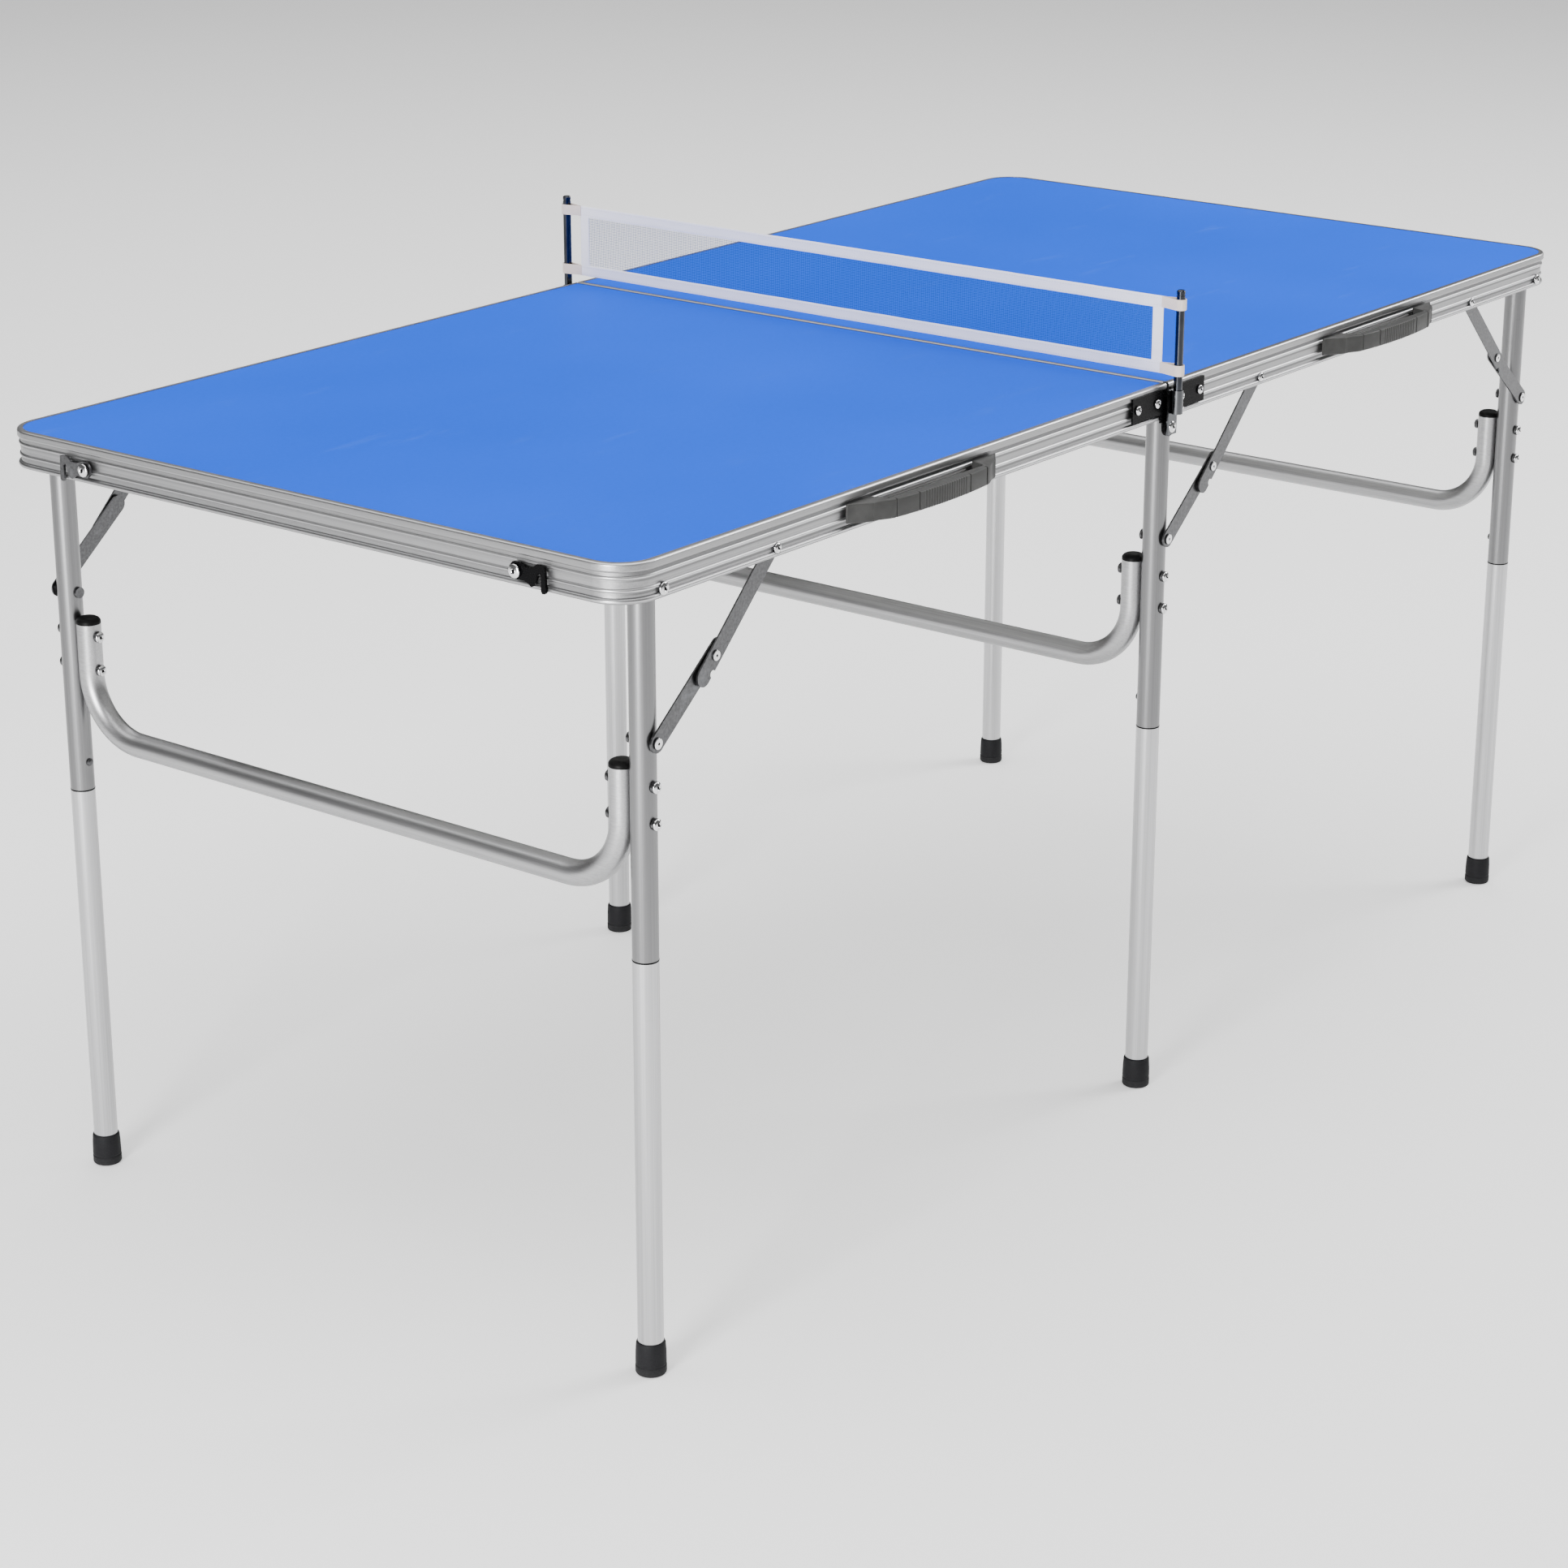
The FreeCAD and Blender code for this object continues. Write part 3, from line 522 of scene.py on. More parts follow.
def piece_from(mesh, name, recipe, body, smooth=40.0):
    """Turn a bmesh into a piece that moves with a body."""
    data = bpy.data.meshes.new(name)
    bmesh.ops.recalc_face_normals(mesh, faces=mesh.faces)
    mesh.to_mesh(data)
    mesh.free()
    obj = bpy.data.objects.new(name, data)
    bpy.context.scene.collection.objects.link(obj)
    data.shade_smooth()
    data.set_sharp_from_angle(angle=math.radians(smooth))
    coat(obj, recipe)
    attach(obj, body)
    return obj


def lathe(mesh, profile, centre, axis="z", way=1, steps=32):
    """Turn a profile of (radius, distance) round an axis through centre."""
    turn = {
        "z": Matrix.Identity(3),
        "y": Matrix.Rotation(math.radians(-90), 3, "X"),
        "x": Matrix.Rotation(math.radians(90), 3, "Y"),
    }[axis]
    rings = []
    for radius, distance in profile:
        if radius < 1e-7:
            point = turn @ Vector((0, 0, way * distance)) + Vector(centre)
            rings.append([mesh.verts.new(point)])
            continue
        ring = []
        for n in range(steps):
            angle = 2 * math.pi * n / steps
            local = Vector((radius * math.cos(angle), radius * math.sin(angle), way * distance))
            ring.append(mesh.verts.new(turn @ local + Vector(centre)))
        rings.append(ring)
    for lower, upper in zip(rings, rings[1:]):
        join_rings(mesh, lower, upper)


def join_rings(mesh, lower, upper):
    """Faces between two rings of points, or between a ring and a single point."""
    count = max(len(lower), len(upper))
    for n in range(count):
        m = (n + 1) % count
        if len(lower) == 1:
            mesh.faces.new((lower[0], upper[m], upper[n]))
        elif len(upper) == 1:
            mesh.faces.new((lower[n], lower[m], upper[0]))
        else:
            mesh.faces.new((lower[n], lower[m], upper[m], upper[n]))


def skin_rings(mesh, rings):
    """Join a row of rings and close its two ends."""
    for first, second in zip(rings, rings[1:]):
        join_rings(mesh, first, second)
    mesh.faces.new(rings[0])
    mesh.faces.new(list(reversed(rings[-1])))


def rivet_heads(name, body, heads):
    """Hollow domed heads at (middle, axis, way, radius, height), with mandrels inside them whose
    black is painted shade in the hollow.
    """
    rings, mandrels_painted_shade = bmesh.new(), bmesh.new()
    for centre, axis, way, radius, height in heads:
        dome = [(radius * math.cos(a), height * math.sin(a)) for a in
                (math.radians(d) for d in range(0, 66, 13))]
        bowl = [(radius * 0.38, height * 0.97), (radius * 0.33, height * 0.80),
                (0.0, height * 0.35)]
        lathe(rings, [(0.0, -0.0002), (radius, -0.0002)] + dome + bowl, centre, axis, way, 28)
        # the mandrel stubs are real; their black enamel is painted shade in the hollow of each head
        stem = [(0.0, height * 0.30), (radius * 0.27, height * 0.42),
                (radius * 0.26, height * 0.72), (radius * 0.16, height * 0.84),
                (0.0, height * 0.86)]
        lathe(mandrels_painted_shade, stem, centre, axis, way, 20)
    piece_from(rings, name, rivet_chrome, body, 34.0)
    piece_from(mandrels_painted_shade, name + "_mandrels", black_enamel, body, 34.0)


# ---------------------------------------------------------------- pieces of the legs


def leg_x(name):
    """Where a leg set stands along the table, from its lower tube."""
    low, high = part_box(name + "_right_lower_leg")
    return ((low + high) / 2).x


def make_foot(name, side_name):
    """A rubber cup on the end of a leg: a rolled sole, a step above it and a soft top edge."""
    node = "%s_%s_foot" % (name, side_name)
    low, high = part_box(node)
    centre = (low + high) / 2
    r, top = (high.x - low.x) / 2, high.z
    tube = LEG_TUBE_RADIUS
    profile = [
        (0.0, 0.0), (r - 0.0022, 0.0), (r - 0.0008, 0.0005), (r, 0.0018), (r, 0.0075),
        (r - 0.0006, 0.0082), (r - 0.0006, 0.0092), (r - 0.0001, 0.0099), (r - 0.0003, 0.020),
        (r - 0.0008, top - 0.0022), (r - 0.0013, top - 0.0008), (r - 0.0020, top),
        (tube + 0.0004, top), (tube + 0.0001, top - 0.0008), (tube + 0.0001, 0.006), (0.0, 0.006),
    ]
    mesh = bmesh.new()
    lathe(mesh, profile, (centre.x, centre.y, 0.0), steps=48)
    foot = piece_from(mesh, node + "_moulding", foot_rubber, "%s_%s_lower" % (name, side_name),
                      32.0)
    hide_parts(node)


def make_plugs(name):
    """Domed plugs in the two open ends of the cross tube."""
    node = name + "_tube_plugs"
    low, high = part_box(node)
    r = LEG_TUBE_RADIUS
    base = high.z - PLUG_HEIGHT
    centre_x, centre_y = (low.x + high.x) / 2, high.y - r
    profile = [
        (0.0, -0.008), (0.0097, -0.008), (0.0097, 0.0), (r, 0.0), (r, 0.0022), (r - 0.0005, 0.0034),
        (r - 0.0016, 0.0046), (r - 0.0034, 0.0056), (r - 0.0060, 0.0060), (0.0, 0.0060),
    ]
    mesh = bmesh.new()
    for _, side in SIDES:
        lathe(mesh, profile, (centre_x, side * centre_y, base), steps=40)
    plugs = piece_from(mesh, name + "_plug_mouldings", plug_plastic, name + "_legs",
                       28.0)
    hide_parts(node)


def make_button(name, side_name, side):
    """A snap button with a rounded nose that points to the middle of the table."""
    node = "%s_%s_button" % (name, side_name)
    low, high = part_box(node)
    centre = (low + high) / 2
    r = (high.x - low.x) / 2
    back, length = (high.y if side > 0 else low.y), high.y - low.y
    profile = [
        (0.0, 0.0), (r, 0.0), (r, length * 0.62), (r * 0.93, length * 0.78),
        (r * 0.74, length * 0.90), (r * 0.42, length * 0.98), (0.0, length),
    ]
    mesh = bmesh.new()
    lathe(mesh, profile, (centre.x, back, centre.z), "y", -side, 28)
    button = piece_from(mesh, node + "_dome", zinc_steel,
                        "%s_%s_snap_button" % (name, side_name), 34.0)
    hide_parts(node)


def make_seam_shadow_ring(name, side_name):
    """A thin black ring at the top of the plug-in tube, where it meets the upper leg: painted
    shadow in the joint's gap.
    """
    low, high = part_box("%s_%s_lower_leg" % (name, side_name))
    centre = (low + high) / 2
    gap = 0.0003
    top, tube = high.z - SPIGOT_LENGTH - gap, LEG_TUBE_RADIUS
    profile = [
        (tube - 0.0006, 0.0), (tube + 0.00012, 0.0001), (tube + 0.00022, 0.0004),
        (tube + 0.00022, 0.0010), (tube + 0.00012, 0.0013), (tube - 0.0006, 0.0014),
    ]
    mesh = bmesh.new()
    lathe(mesh, profile + profile[:1], (centre.x, centre.y, top - 0.0012), steps=48)
    bmesh.ops.remove_doubles(mesh, verts=mesh.verts, dist=1e-7)
    # painted shadow: the black ring gives the dark line of the joint's gap
    piece_from(mesh, "%s_%s_seam_shadow_ring" % (name, side_name), plug_plastic,
               "%s_%s_lower" % (name, side_name), 50.0)


def make_leg_rivets(name):
    """Domed heads on the bolts through the leg, and on the pin of the lower link."""
    low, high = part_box(name + "_leg_bolts")
    x = (low.x + high.x) / 2
    height = sizes().dome_height
    heads = []
    for _, side in SIDES:
        for z in BOLT_HEIGHTS:
            heads.append(((x, side * BOLT_OUTSIDE, z), "y", side, 0.005, height * 1.8))
            heads.append(((x, side * BOLT_INSIDE, z), "y", -side, 0.005, height * 1.6))
        heads.append(((x, side * high.y, high.z - 0.005), "y", side, 0.0047, 0.0004))
    rivet_heads(name + "_bolt_heads", name + "_legs", heads)


def make_rail_rivets(name, body):
    """Domed heads on the rail over the leg pivots and the brace rivets."""
    low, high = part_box(name + "_leg_pivots")
    z = (low.z + high.z) / 2
    leg = leg_x(name)
    reach = 1 if abs(low.x - leg) < abs(high.x - leg) else -1
    height = sizes().dome_height * 1.5
    heads = []
    for _, side in SIDES:
        heads.append(((leg, side * PIVOT_OUTSIDE, z), "y", side, 0.0055, height))
        brace = leg + reach * BRACE_REACH
        heads.append(((brace, side * BRACE_PIN_OUTSIDE, z), "y", side, 0.0045, height))
    rivet_heads(name + "_rail_rivet_heads", body, heads)


def make_knee_rivets(name):
    """Flat heads on the rivets that join the two links of a brace."""
    low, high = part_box(name + "_brace_upper_links")
    leg = leg_x(name)
    reach = 1 if (low.x + high.x) / 2 > leg else -1
    knee = leg + reach * KNEE_REACH
    heads = [((knee, side * high.y, KNEE_HEIGHT), "y", side, 0.0043, 0.0004) for _, side in SIDES]
    rivet_heads(name + "_knee_rivet_heads", name + "_brace_uppers", heads)


# ---------------------------------------------------------------- handles


def smooth_step(low, high, value):
    """From 0 to 1 between low and high, with soft ends; low may be the larger."""
    t = min(1.0, max(0.0, (value - low) / (high - low)))
    return t * t * (3 - 2 * t)


GRIP_HALF, RIBBED_HALF, BLOCK_STEP, HANDLE_HALF = 0.064, 0.030, 0.086, 0.1046
HANDLE_SEAMS = (GRIP_HALF, 0.036)


def handle_section(across):
    """Outer and inner edge of the handle, out from the rail, at a distance from its middle."""
    a = abs(across)
    if a < GRIP_HALF:
        outer = 0.0268 - 0.0042 * (a / GRIP_HALF) ** 2
    elif a <= BLOCK_STEP:
        outer = 0.0226 - 0.0076 * smooth_step(GRIP_HALF, BLOCK_STEP, a)
    else:
        outer = 0.0150 - 0.0132 * smooth_step(0.084, 0.108, a)
    inner = 0.0158 - 0.0156 * smooth_step(0.066, 0.073, a)
    seam_depth, seam_width, rib_depth = 0.0024, 0.0005, 0.00045
    groove = max(seam_depth * math.exp(-(((a - seam) / seam_width) ** 2)) for seam in HANDLE_SEAMS)
    if a < RIBBED_HALF:
        rib = 0.5 + 0.5 * math.cos(2 * math.pi * across / sizes().rib_pitch)
        groove = max(groove, rib_depth * rib)
    return outer - groove, max(0.0002, min(inner, outer - groove - 0.0015))


def make_handle(name, body):
    """A bow handle: a rounded bar with ribs in its middle that flares into two end blocks."""
    low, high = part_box(name + "_handle_blocks")
    centre_x, bottom, top = (low.x + high.x) / 2, low.z, high.z
    rail = -high.y
    mesh = bmesh.new()
    rings = []
    steps = 600
    for n in range(steps + 1):
        across = HANDLE_HALF * (2 * n / steps - 1)
        outer, inner = handle_section(across)
        rings.append([
            mesh.verts.new((centre_x + across, -(rail + depth), height))
            for depth, height in rounded_box(inner, outer, bottom + 0.0003, top - 0.0003, 0.0015)
        ])
    skin_rings(mesh, rings)
    handle = piece_from(mesh, name + "_handle_moulding", handle_plastic, body, 36.0)
    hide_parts(name + "_handle_grip", name + "_handle_blocks")
    mesh = bmesh.new()
    for lift in (0.0055, 0.0115):
        backing_bar(mesh, centre_x, -(rail + 0.002), bottom + lift)
    piece_from(mesh, name + "_handle_backing", handle_plastic, body)


def rounded_box(inner, outer, bottom, top, radius):
    """A rounded rectangle in depth and height, as points in order."""
    r = min(radius, (outer - inner) * 0.45)
    points = []
    for cx, cz, start in ((outer - r, top - r, 0), (inner + r, top - r, 90),
                          (inner + r, bottom + r, 180), (outer - r, bottom + r, 270)):
        for k in range(5):
            angle = math.radians(start + 22.5 * k)
            points.append((cx + r * math.cos(angle), cz + r * math.sin(angle)))
    return points


def backing_bar(mesh, centre_x, y, z):
    """A thin rib on the rail side of the finger gap."""
    half, radius = 0.060, 0.0011
    rings = []
    for n in range(33):
        across = half * (n / 16 - 1)
        deep = radius + 0.0006 * smooth_step(half, 0.050, abs(across))
        rings.append([
            mesh.verts.new((centre_x + across, y - deep * math.cos(a), z + radius * math.sin(a)))
            for a in (2 * math.pi * k / 12 for k in range(12))
        ])
    skin_rings(mesh, rings)


# ---------------------------------------------------------------- net


def make_posts():
    """Two turned rods with a groove near the top."""
    low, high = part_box("net_posts")
    r = POST_RADIUS
    mesh = bmesh.new()
    for _, side in SIDES:
        length = high.z - low.z
        profile = [
            (0.0, 0.0), (r, 0.0), (r, length - 0.0052), (r - 0.0004, length - 0.0049),
            (r - 0.0004, length - 0.0042), (r, length - 0.0039), (r, length - 0.0012),
            (r - 0.0005, length - 0.0004), (r - 0.0013, length), (0.0, length),
        ]
        lathe(mesh, profile, (0.0, side * (high.y - r), low.z), steps=36)
    posts = piece_from(mesh, "net_post_rods", post_chrome, "net_set", 30.0)
    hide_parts("net_posts")


def wave(y, z):
    """How far the stretched cloth stands out of its plane."""
    return 0.00022 * math.sin(y * 61.0 + z * 30.0) + 0.00014 * math.sin(y * 143.0 + 1.3)


def make_tape():
    """The border: one ring of tape with folded edges, a little uneven as sewn cloth is."""
    low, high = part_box("net_mesh")
    outer_y, outer_low, outer_high = high.y + TAPE_WIDTH, low.z - TAPE_WIDTH, high.z + TAPE_WIDTH
    rows = (0.0, 0.06, 0.14, 0.30, 0.50, 0.70, 0.86, 0.94, 1.0)
    thick = (0.35, 0.72, 0.78, 0.62, 0.60, 0.62, 0.78, 0.72, 0.35)
    rim = tape_rim(outer_y, outer_low, outer_high, high.y, low.z, high.z)
    mesh = bmesh.new()
    loops = []
    for way in (1, -1):
        order = range(len(rows)) if way > 0 else range(len(rows) - 1, -1, -1)
        for index in order:
            loop = []
            for (oy, oz), (iy, iz) in rim:
                y = oy + (iy - oy) * rows[index]
                z = oz + (iz - oz) * rows[index]
                x = wave(y, z) + way * thick[index] * 0.001
                loop.append(mesh.verts.new((x, y, z)))
            loops.append(loop)
    for first, second in zip(loops, loops[1:] + loops[:1]):
        join_rings(mesh, first, second)
    return piece_from(mesh, "net_border_tape", tape_fabric, "net_set", 60.0)


def tape_rim(outer_y, outer_low, outer_high, inner_y, inner_low, inner_high):
    """Matching points on the border's outer and inner edge, all the way round."""
    def corners(y, low, high):
        return [(-y, low), (y, low), (y, high), (-y, high)]

    pairs = []
    long_steps, short_steps = 160, 16
    outer = corners(outer_y, outer_low, outer_high)
    inner = corners(inner_y, inner_low, inner_high)
    for n in range(4):
        steps = long_steps if n % 2 == 0 else short_steps
        for k in range(steps):
            t = k / steps
            pairs.append(tuple(
                tuple(a + (b - a) * t for a, b in zip(edge[n], edge[(n + 1) % 4]))
                for edge in (outer, inner)
            ))
    return pairs


def make_mesh_sheet():
    """The open mesh between the tapes, tucked a little way under them."""
    low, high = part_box("net_mesh")
    tuck = 0.004
    wide, tall = high.y - low.y + 2 * tuck, high.z - low.z + 2 * tuck
    mesh = bmesh.new()
    columns, rows = 120, 10
    grid = []
    for c in range(columns + 1):
        y = low.y - tuck + wide * c / columns
        grid.append([])
        for r in range(rows + 1):
            z = low.z - tuck + tall * r / rows
            grid[-1].append(mesh.verts.new((wave(y, z), y, z)))
    for c in range(columns):
        for r in range(rows):
            mesh.faces.new((grid[c][r], grid[c + 1][r], grid[c + 1][r + 1], grid[c][r + 1]))
    sheet = piece_from(mesh, "net_open_mesh", net_thread, "net_set", 60.0)
    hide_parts("net_mesh")
    return sheet, (wide, tall)


def strap_path(side):
    """A loop of webbing seen from above: round the post and back to the tape."""
    _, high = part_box("net_posts")
    centre_y, r = high.y - POST_RADIUS, POST_RADIUS + 0.001
    start = STRAP_START
    open_angle = math.acos(r / (centre_y - start))
    points = [(0.0009, start), (0.0010, start + 0.004)]
    for k in range(25):
        angle = -math.pi / 2 + open_angle + (2 * math.pi - 2 * open_angle) * k / 24
        points.append((r * math.cos(angle), centre_y + r * math.sin(angle)))
    points += [(-0.0010, start + 0.004), (-0.0009, start)]
    return [(x, side * y) for x, y in points]


def make_straps():
    """Four loops of webbing that hold the tape on the posts, sewn to its ends."""
    low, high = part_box("net_tape")
    mesh = bmesh.new()
    thick, inset = 0.00045, 0.0002
    for _, side in SIDES:
        for bottom in (low.z + inset, high.z - inset - STRAP_WIDTH):
            path = strap_path(side)
            rings = []
            for n, (x, y) in enumerate(path):
                before, after = path[max(n - 1, 0)], path[min(n + 1, len(path) - 1)]
                along = Vector((after[0] - before[0], after[1] - before[1])).normalized()
                out = Vector((along.y, -along.x)) * thick
                ring = []
                for k, share in ((1, 0.0), (1, 0.06), (1, 0.5), (1, 0.94), (1, 1.0),
                                 (-1, 1.0), (-1, 0.94), (-1, 0.5), (-1, 0.06), (-1, 0.0)):
                    edge = 0.6 if share in (0.0, 1.0) else 1.0
                    ring.append(mesh.verts.new(
                        (x + k * out.x * edge, y + k * out.y * edge, bottom + STRAP_WIDTH * share)))
                rings.append(ring)
            skin_rings(mesh, rings)
    return piece_from(mesh, "net_strap_loops", strap_webbing, "net_set", 50.0)


# ---------------------------------------------------------------- operators


class TABLE_OT_boards(bpy.types.Operator):
    """Paint the two playing boards"""
    bl_idname = "table.boards"
    bl_label = "Boards"

    def execute(self, context):
        coat_nodes(board_paint, "near_top_board", "far_top_board")
        return {"FINISHED"}


class TABLE_OT_rails(bpy.types.Operator):
    """Finish the frame rails round and between the boards"""
    bl_idname = "table.rails"
    bl_label = "Frame rails"

    def execute(self, context):
        for name, _, _ in HALVES:
            coat_nodes(rail_metal, name + "_side_frame", name + "_centre_rail")
        return {"FINISHED"}


class TABLE_OT_joint_strip(bpy.types.Operator):
    """Lay the thin strip that closes the gap between the two halves"""
    bl_idname = "table.joint_strip"
    bl_label = "Joint strip"

    def execute(self, context):
        half_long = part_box("far_centre_rail")[1].y - 0.001
        foot, shoulder, crown = 0.7088, 0.7106, 0.7112
        section = [
            (-0.0012, foot), (0.0021, foot), (0.0021, shoulder), (0.0016, 0.7110),
            (0.0004, crown), (-0.0008, 0.7110), (-0.0012, shoulder),
        ]
        mesh = bmesh.new()
        rings = []
        for n in range(41):
            y = half_long * (n / 20 - 1)
            rings.append([mesh.verts.new((x, y, z)) for x, z in section])
        skin_rings(mesh, rings)
        piece_from(mesh, "centre_joint_strip", cross_metal, "far_half", 50.0)
        return {"FINISHED"}


class TABLE_OT_leg_tubes(bpy.types.Operator):
    """Finish the leg tubes and cross tubes"""
    bl_idname = "table.leg_tubes"
    bl_label = "Leg tubes"

    def execute(self, context):
        for name in SETS:
            coat_nodes(tube_metal, name + "_upper_legs")
            coat_nodes(cross_metal, name + "_cross_tube")
            for side_name, _ in SIDES:
                coat_nodes(lower_tube_metal_painted_light, "%s_%s_lower_leg" % (name, side_name))
                make_seam_shadow_ring(name, side_name)
        return {"FINISHED"}


class TABLE_OT_braces(bpy.types.Operator):
    """Finish the folding braces, bolts and rivets"""
    bl_idname = "table.braces"
    bl_label = "Braces and fasteners"

    def execute(self, context):
        for name in SETS:
            coat_nodes(zinc_steel, name + "_brace_upper_links", name + "_brace_lower_links",
                       name + "_leg_bolts", name + "_leg_pivots")
            make_leg_rivets(name)
            make_rail_rivets(name, "near_half" if name == "near" else "far_half")
            make_knee_rivets(name)
        return {"FINISHED"}


class TABLE_OT_feet(bpy.types.Operator):
    """Mould the rubber feet"""
    bl_idname = "table.feet"
    bl_label = "Feet"

    def execute(self, context):
        for name in SETS:
            for side_name, _ in SIDES:
                make_foot(name, side_name)
        return {"FINISHED"}


class TABLE_OT_plugs_and_buttons(bpy.types.Operator):
    """Mould the tube plugs and turn the snap buttons"""
    bl_idname = "table.plugs_and_buttons"
    bl_label = "Plugs and buttons"

    def execute(self, context):
        for name in SETS:
            make_plugs(name)
            for side_name, side in SIDES:
                make_button(name, side_name, side)
        return {"FINISHED"}


class TABLE_OT_hinges(bpy.types.Operator):
    """Finish the centre hinges, the post brackets and the latches"""
    bl_idname = "table.hinges"
    bl_label = "Hinges and latches"

    def execute(self, context):
        coat_nodes(black_enamel, "near_hinge_leaves", "far_hinge_leaves", "right_latch_hook")
        coat_nodes(zinc_steel, "hinge_pins_and_rivets", "near_frame_rivets", "latch_studs",
                   "left_latch_hook")
        coat_nodes(bracket_chrome, "post_brackets")
        height = sizes().dome_height
        for name, body, way in HALVES:
            heads = []
            for _, side in SIDES:
                for across in LEAF_RIVETS:
                    place = (way * across, side * LEAF_OUTSIDE, LEAF_HEIGHT)
                    heads.append((place, "y", side, 0.0042, height * 1.3))
                if body == "far_half":
                    place = (0.0, side * HINGE_PIN_OUTSIDE, HINGE_PIN_HEIGHT)
                    heads.append((place, "y", side, 0.0055, height * 1.6))
                else:
                    place = (LATCH_PIVOT[0], side * LATCH_PIVOT[1], LATCH_PIVOT[2])
                    heads.append((place, "x", -1, 0.0058, height * 1.5))
            rivet_heads(name + "_hinge_rivet_heads", body, heads)
        return {"FINISHED"}


class TABLE_OT_handles(bpy.types.Operator):
    """Mould the two carrying handles"""
    bl_idname = "table.handles"
    bl_label = "Handles"

    def execute(self, context):
        for name, body, _ in HALVES:
            make_handle(name, body)
        return {"FINISHED"}


class TABLE_OT_net(bpy.types.Operator):
    """Make the net, its tape border, its strap loops and its posts"""
    bl_idname = "table.net"
    bl_label = "Net"

    def execute(self, context):
        make_posts()
        tape = make_tape()
        straps = make_straps()
        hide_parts("net_tape")
        sheet, flat = make_mesh_sheet()
        return {"FINISHED"}


class TABLE_OT_stage(bpy.types.Operator):
    """Set up the pale floor, the soft lights and the camera"""
    bl_idname = "table.stage"
    bl_label = "Stage"

    def execute(self, context):
        make_floor()
        make_lights()
        make_camera()
        return {"FINISHED"}


# ---------------------------------------------------------------- stage


def make_floor():
    """A wide sheet of pale studio paper with a little light of its own."""
    mesh = bmesh.new()
    half = sizes().floor_size / 2
    corners = ((-half, -half), (half, -half), (half, half), (-half, half))
    mesh.faces.new([mesh.verts.new((x, y, 0.0)) for x, y in corners])
    data = bpy.data.meshes.new("studio_floor")
    mesh.to_mesh(data)
    mesh.free()
    floor = bpy.data.objects.new("studio_floor", data)
    bpy.context.scene.collection.objects.link(floor)
    f = Finish("studio_paper")
    grain = f.noise((60.0, 60.0, 60.0), 2.0)
    data.materials.append(f.done(
        Base_Color=f.blend(grain, (0.93, 0.93, 0.93, 1.0), (0.95, 0.95, 0.95, 1.0)),
        Roughness=0.9 + grain * 0.05, Specular_IOR_Level=0.1,
        Emission_Color=(1.0, 1.0, 1.0, 1.0), Emission_Strength=0.35))


def area_light(name, place, target, size, power):
    """A rectangular lamp at a place, turned to a target."""
    data = bpy.data.lights.new(name, "AREA")
    data.shape = "RECTANGLE"
    data.size, data.size_y = size
    data.energy = power
    light = bpy.data.objects.new(name, data)
    light.location = place
    aim = Vector(target) - Vector(place)
    light.rotation_euler = aim.to_track_quat("-Z", "Y").to_euler()
    bpy.context.scene.collection.objects.link(light)


# light from all round, and the paler tone that only the camera sees behind the floor
FILL, BACKDROP = 0.14, 0.30


def make_lights():
    """A large soft lamp overhead, a strip at the near end, a side lamp and a pale backdrop."""
    world = bpy.data.worlds.new("studio")
    world.use_nodes = True
    back = next(n for n in world.node_tree.nodes if n.type == "BACKGROUND")
    back.inputs["Color"].default_value = (1.0, 1.0, 1.0, 1.0)
    seen = Wire(world.node_tree).node("ShaderNodeLightPath")
    world.node_tree.links.new((FILL + seen * BACKDROP).socket, back.inputs["Strength"])
    bpy.context.scene.world = world
    area_light("overhead", (0.6, 0.5, 5.0), (0.6, 0.5, 0.0), (8.0, 8.0), 560)
    area_light("end_strip", (-3.9, -0.8, 1.0), (0.0, 0.0, 0.5), (1.0, 1.7), 210)
    area_light("side_lamp", (4.6, -2.6, 3.5), (0.0, 0.0, 0.6), (2.4, 2.4), 230)


CAMERA_PLACE = (-2.8352, -2.1264, 1.5109)
CAMERA_HEADING = 37.979
CAMERA_DIP = 19.647
IMAGE_SIZE, FOCAL_LENGTH, SENSOR_WIDTH = 1932, 4610.9, 36.0


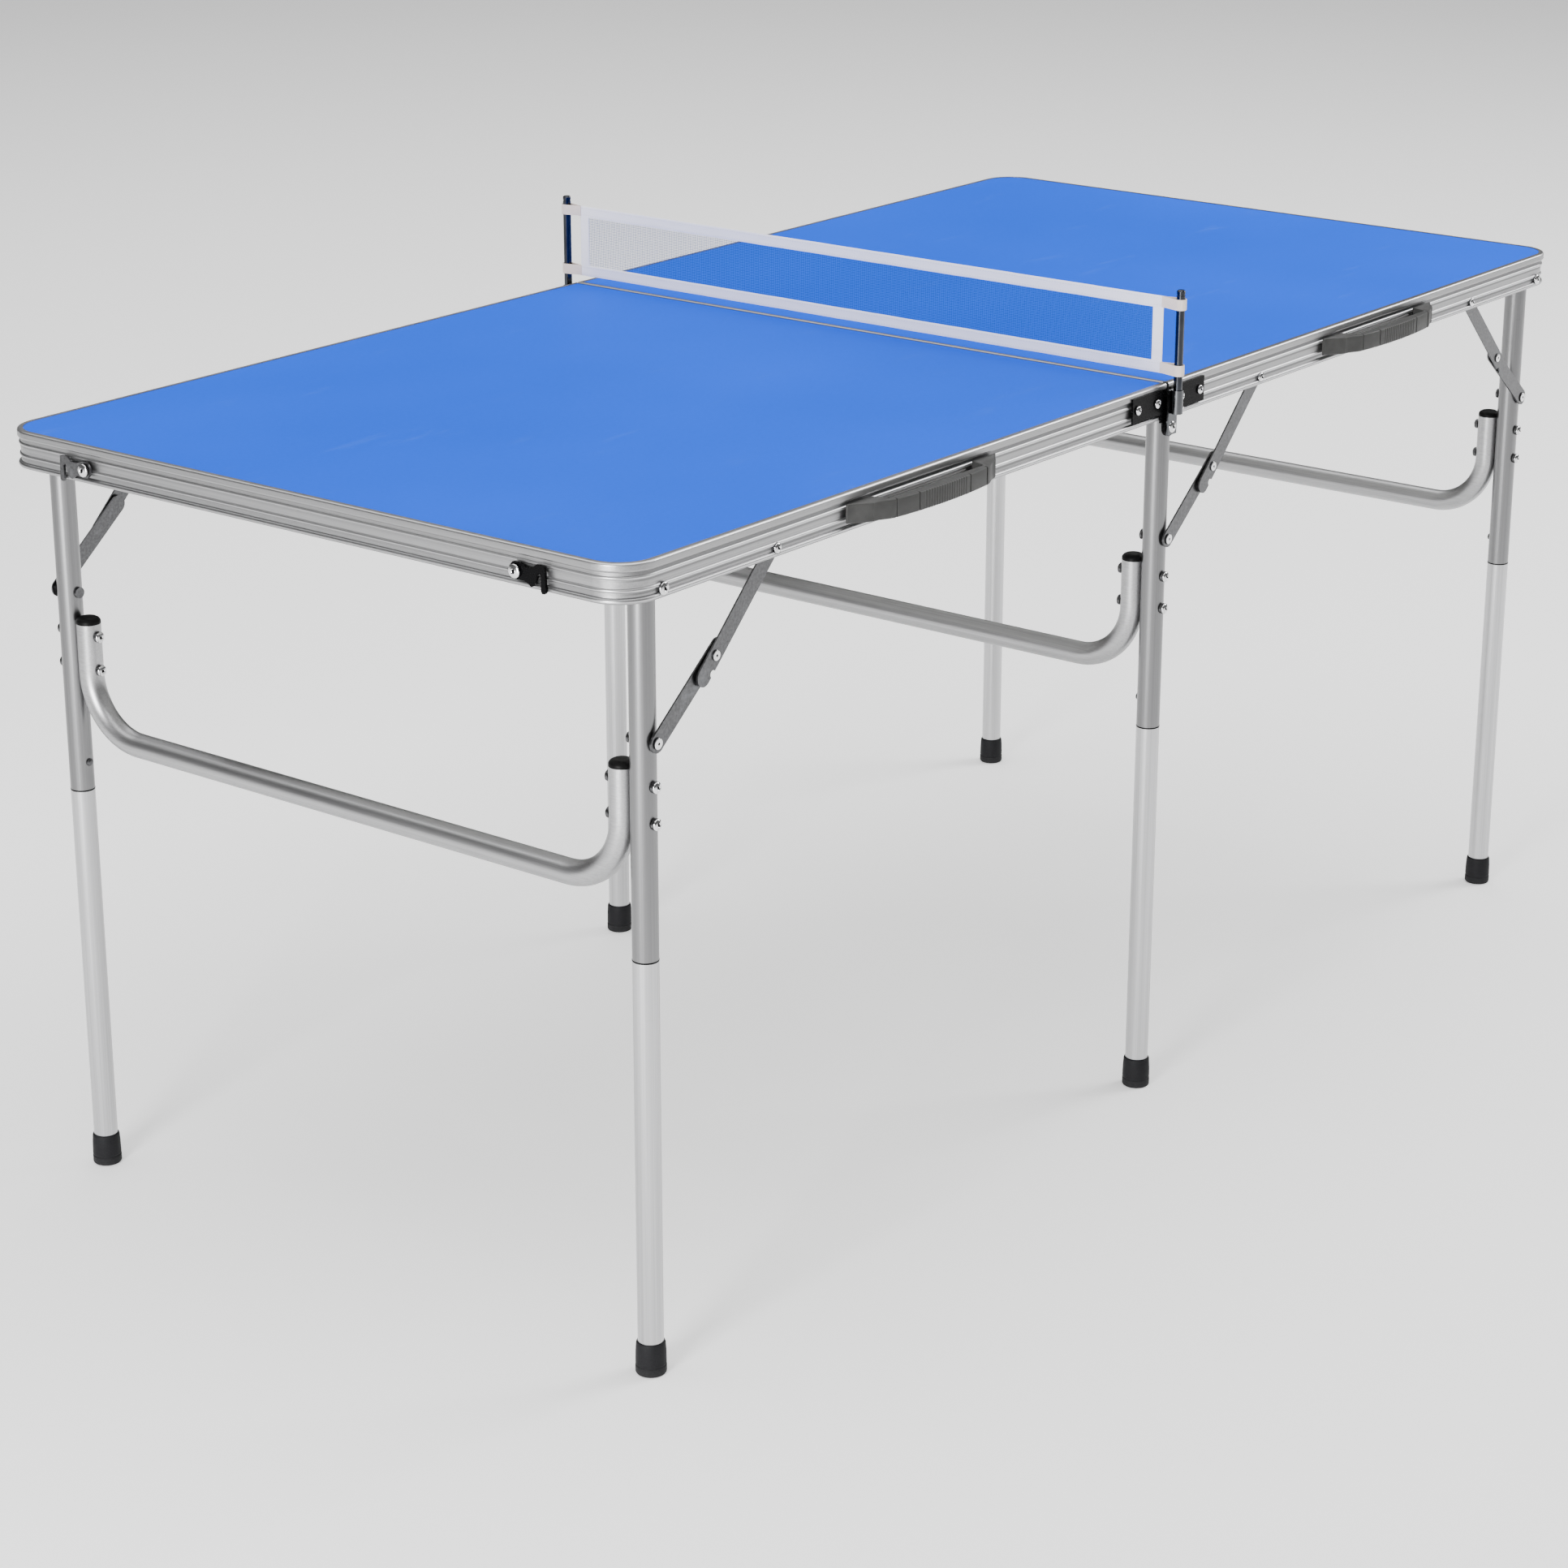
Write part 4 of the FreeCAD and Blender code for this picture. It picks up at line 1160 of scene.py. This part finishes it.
def make_camera():
    """A long lens from the near right, above the table."""
    data = bpy.data.cameras.new("camera")
    data.sensor_width = SENSOR_WIDTH
    data.lens = FOCAL_LENGTH / IMAGE_SIZE * SENSOR_WIDTH
    data.clip_end = 100.0
    camera = bpy.data.objects.new("camera", data)
    heading, dip = math.radians(CAMERA_HEADING), math.radians(CAMERA_DIP)
    level = math.cos(dip)
    look = Vector((math.cos(heading) * level, math.sin(heading) * level, -math.sin(dip)))
    camera.location = CAMERA_PLACE
    camera.rotation_euler = look.to_track_quat("-Z", "Y").to_euler()
    bpy.context.scene.collection.objects.link(camera)
    bpy.context.scene.camera = camera


# ---------------------------------------------------------------- panel and registration


OPERATORS = (
    TABLE_OT_boards, TABLE_OT_rails, TABLE_OT_joint_strip, TABLE_OT_leg_tubes, TABLE_OT_braces,
    TABLE_OT_feet, TABLE_OT_plugs_and_buttons, TABLE_OT_hinges, TABLE_OT_handles, TABLE_OT_net,
    TABLE_OT_stage,
)


class TABLE_PT_panel(bpy.types.Panel):
    """Sizes, colours and steps of the folding table"""
    bl_label = "Ping Pong Table"
    bl_idname = "TABLE_PT_panel"
    bl_space_type = "VIEW_3D"
    bl_region_type = "UI"
    bl_category = "Table"

    def draw(self, context):
        layout = self.layout
        for group in (context.scene.table_colours, context.scene.table_sizes):
            for name in group.__annotations__:
                layout.prop(group, name)
        for operator in OPERATORS:
            layout.operator(operator.bl_idname)


CLASSES = (TableColours, TableSizes) + OPERATORS + (TABLE_PT_panel,)


def register():
    """Register the classes and the groups of sizes and colours."""
    for item in CLASSES:
        bpy.utils.register_class(item)
    bpy.types.Scene.table_colours = bpy.props.PointerProperty(type=TableColours)
    bpy.types.Scene.table_sizes = bpy.props.PointerProperty(type=TableSizes)


def unregister():
    """Take away what register() added."""
    del bpy.types.Scene.table_sizes
    del bpy.types.Scene.table_colours
    for item in reversed(CLASSES):
        bpy.utils.unregister_class(item)


def main():
    """Register the add-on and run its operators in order."""
    register()
    for operator in OPERATORS:
        group, name = operator.bl_idname.split(".")
        getattr(getattr(bpy.ops, group), name)()


if __name__ == "__main__":
    main()
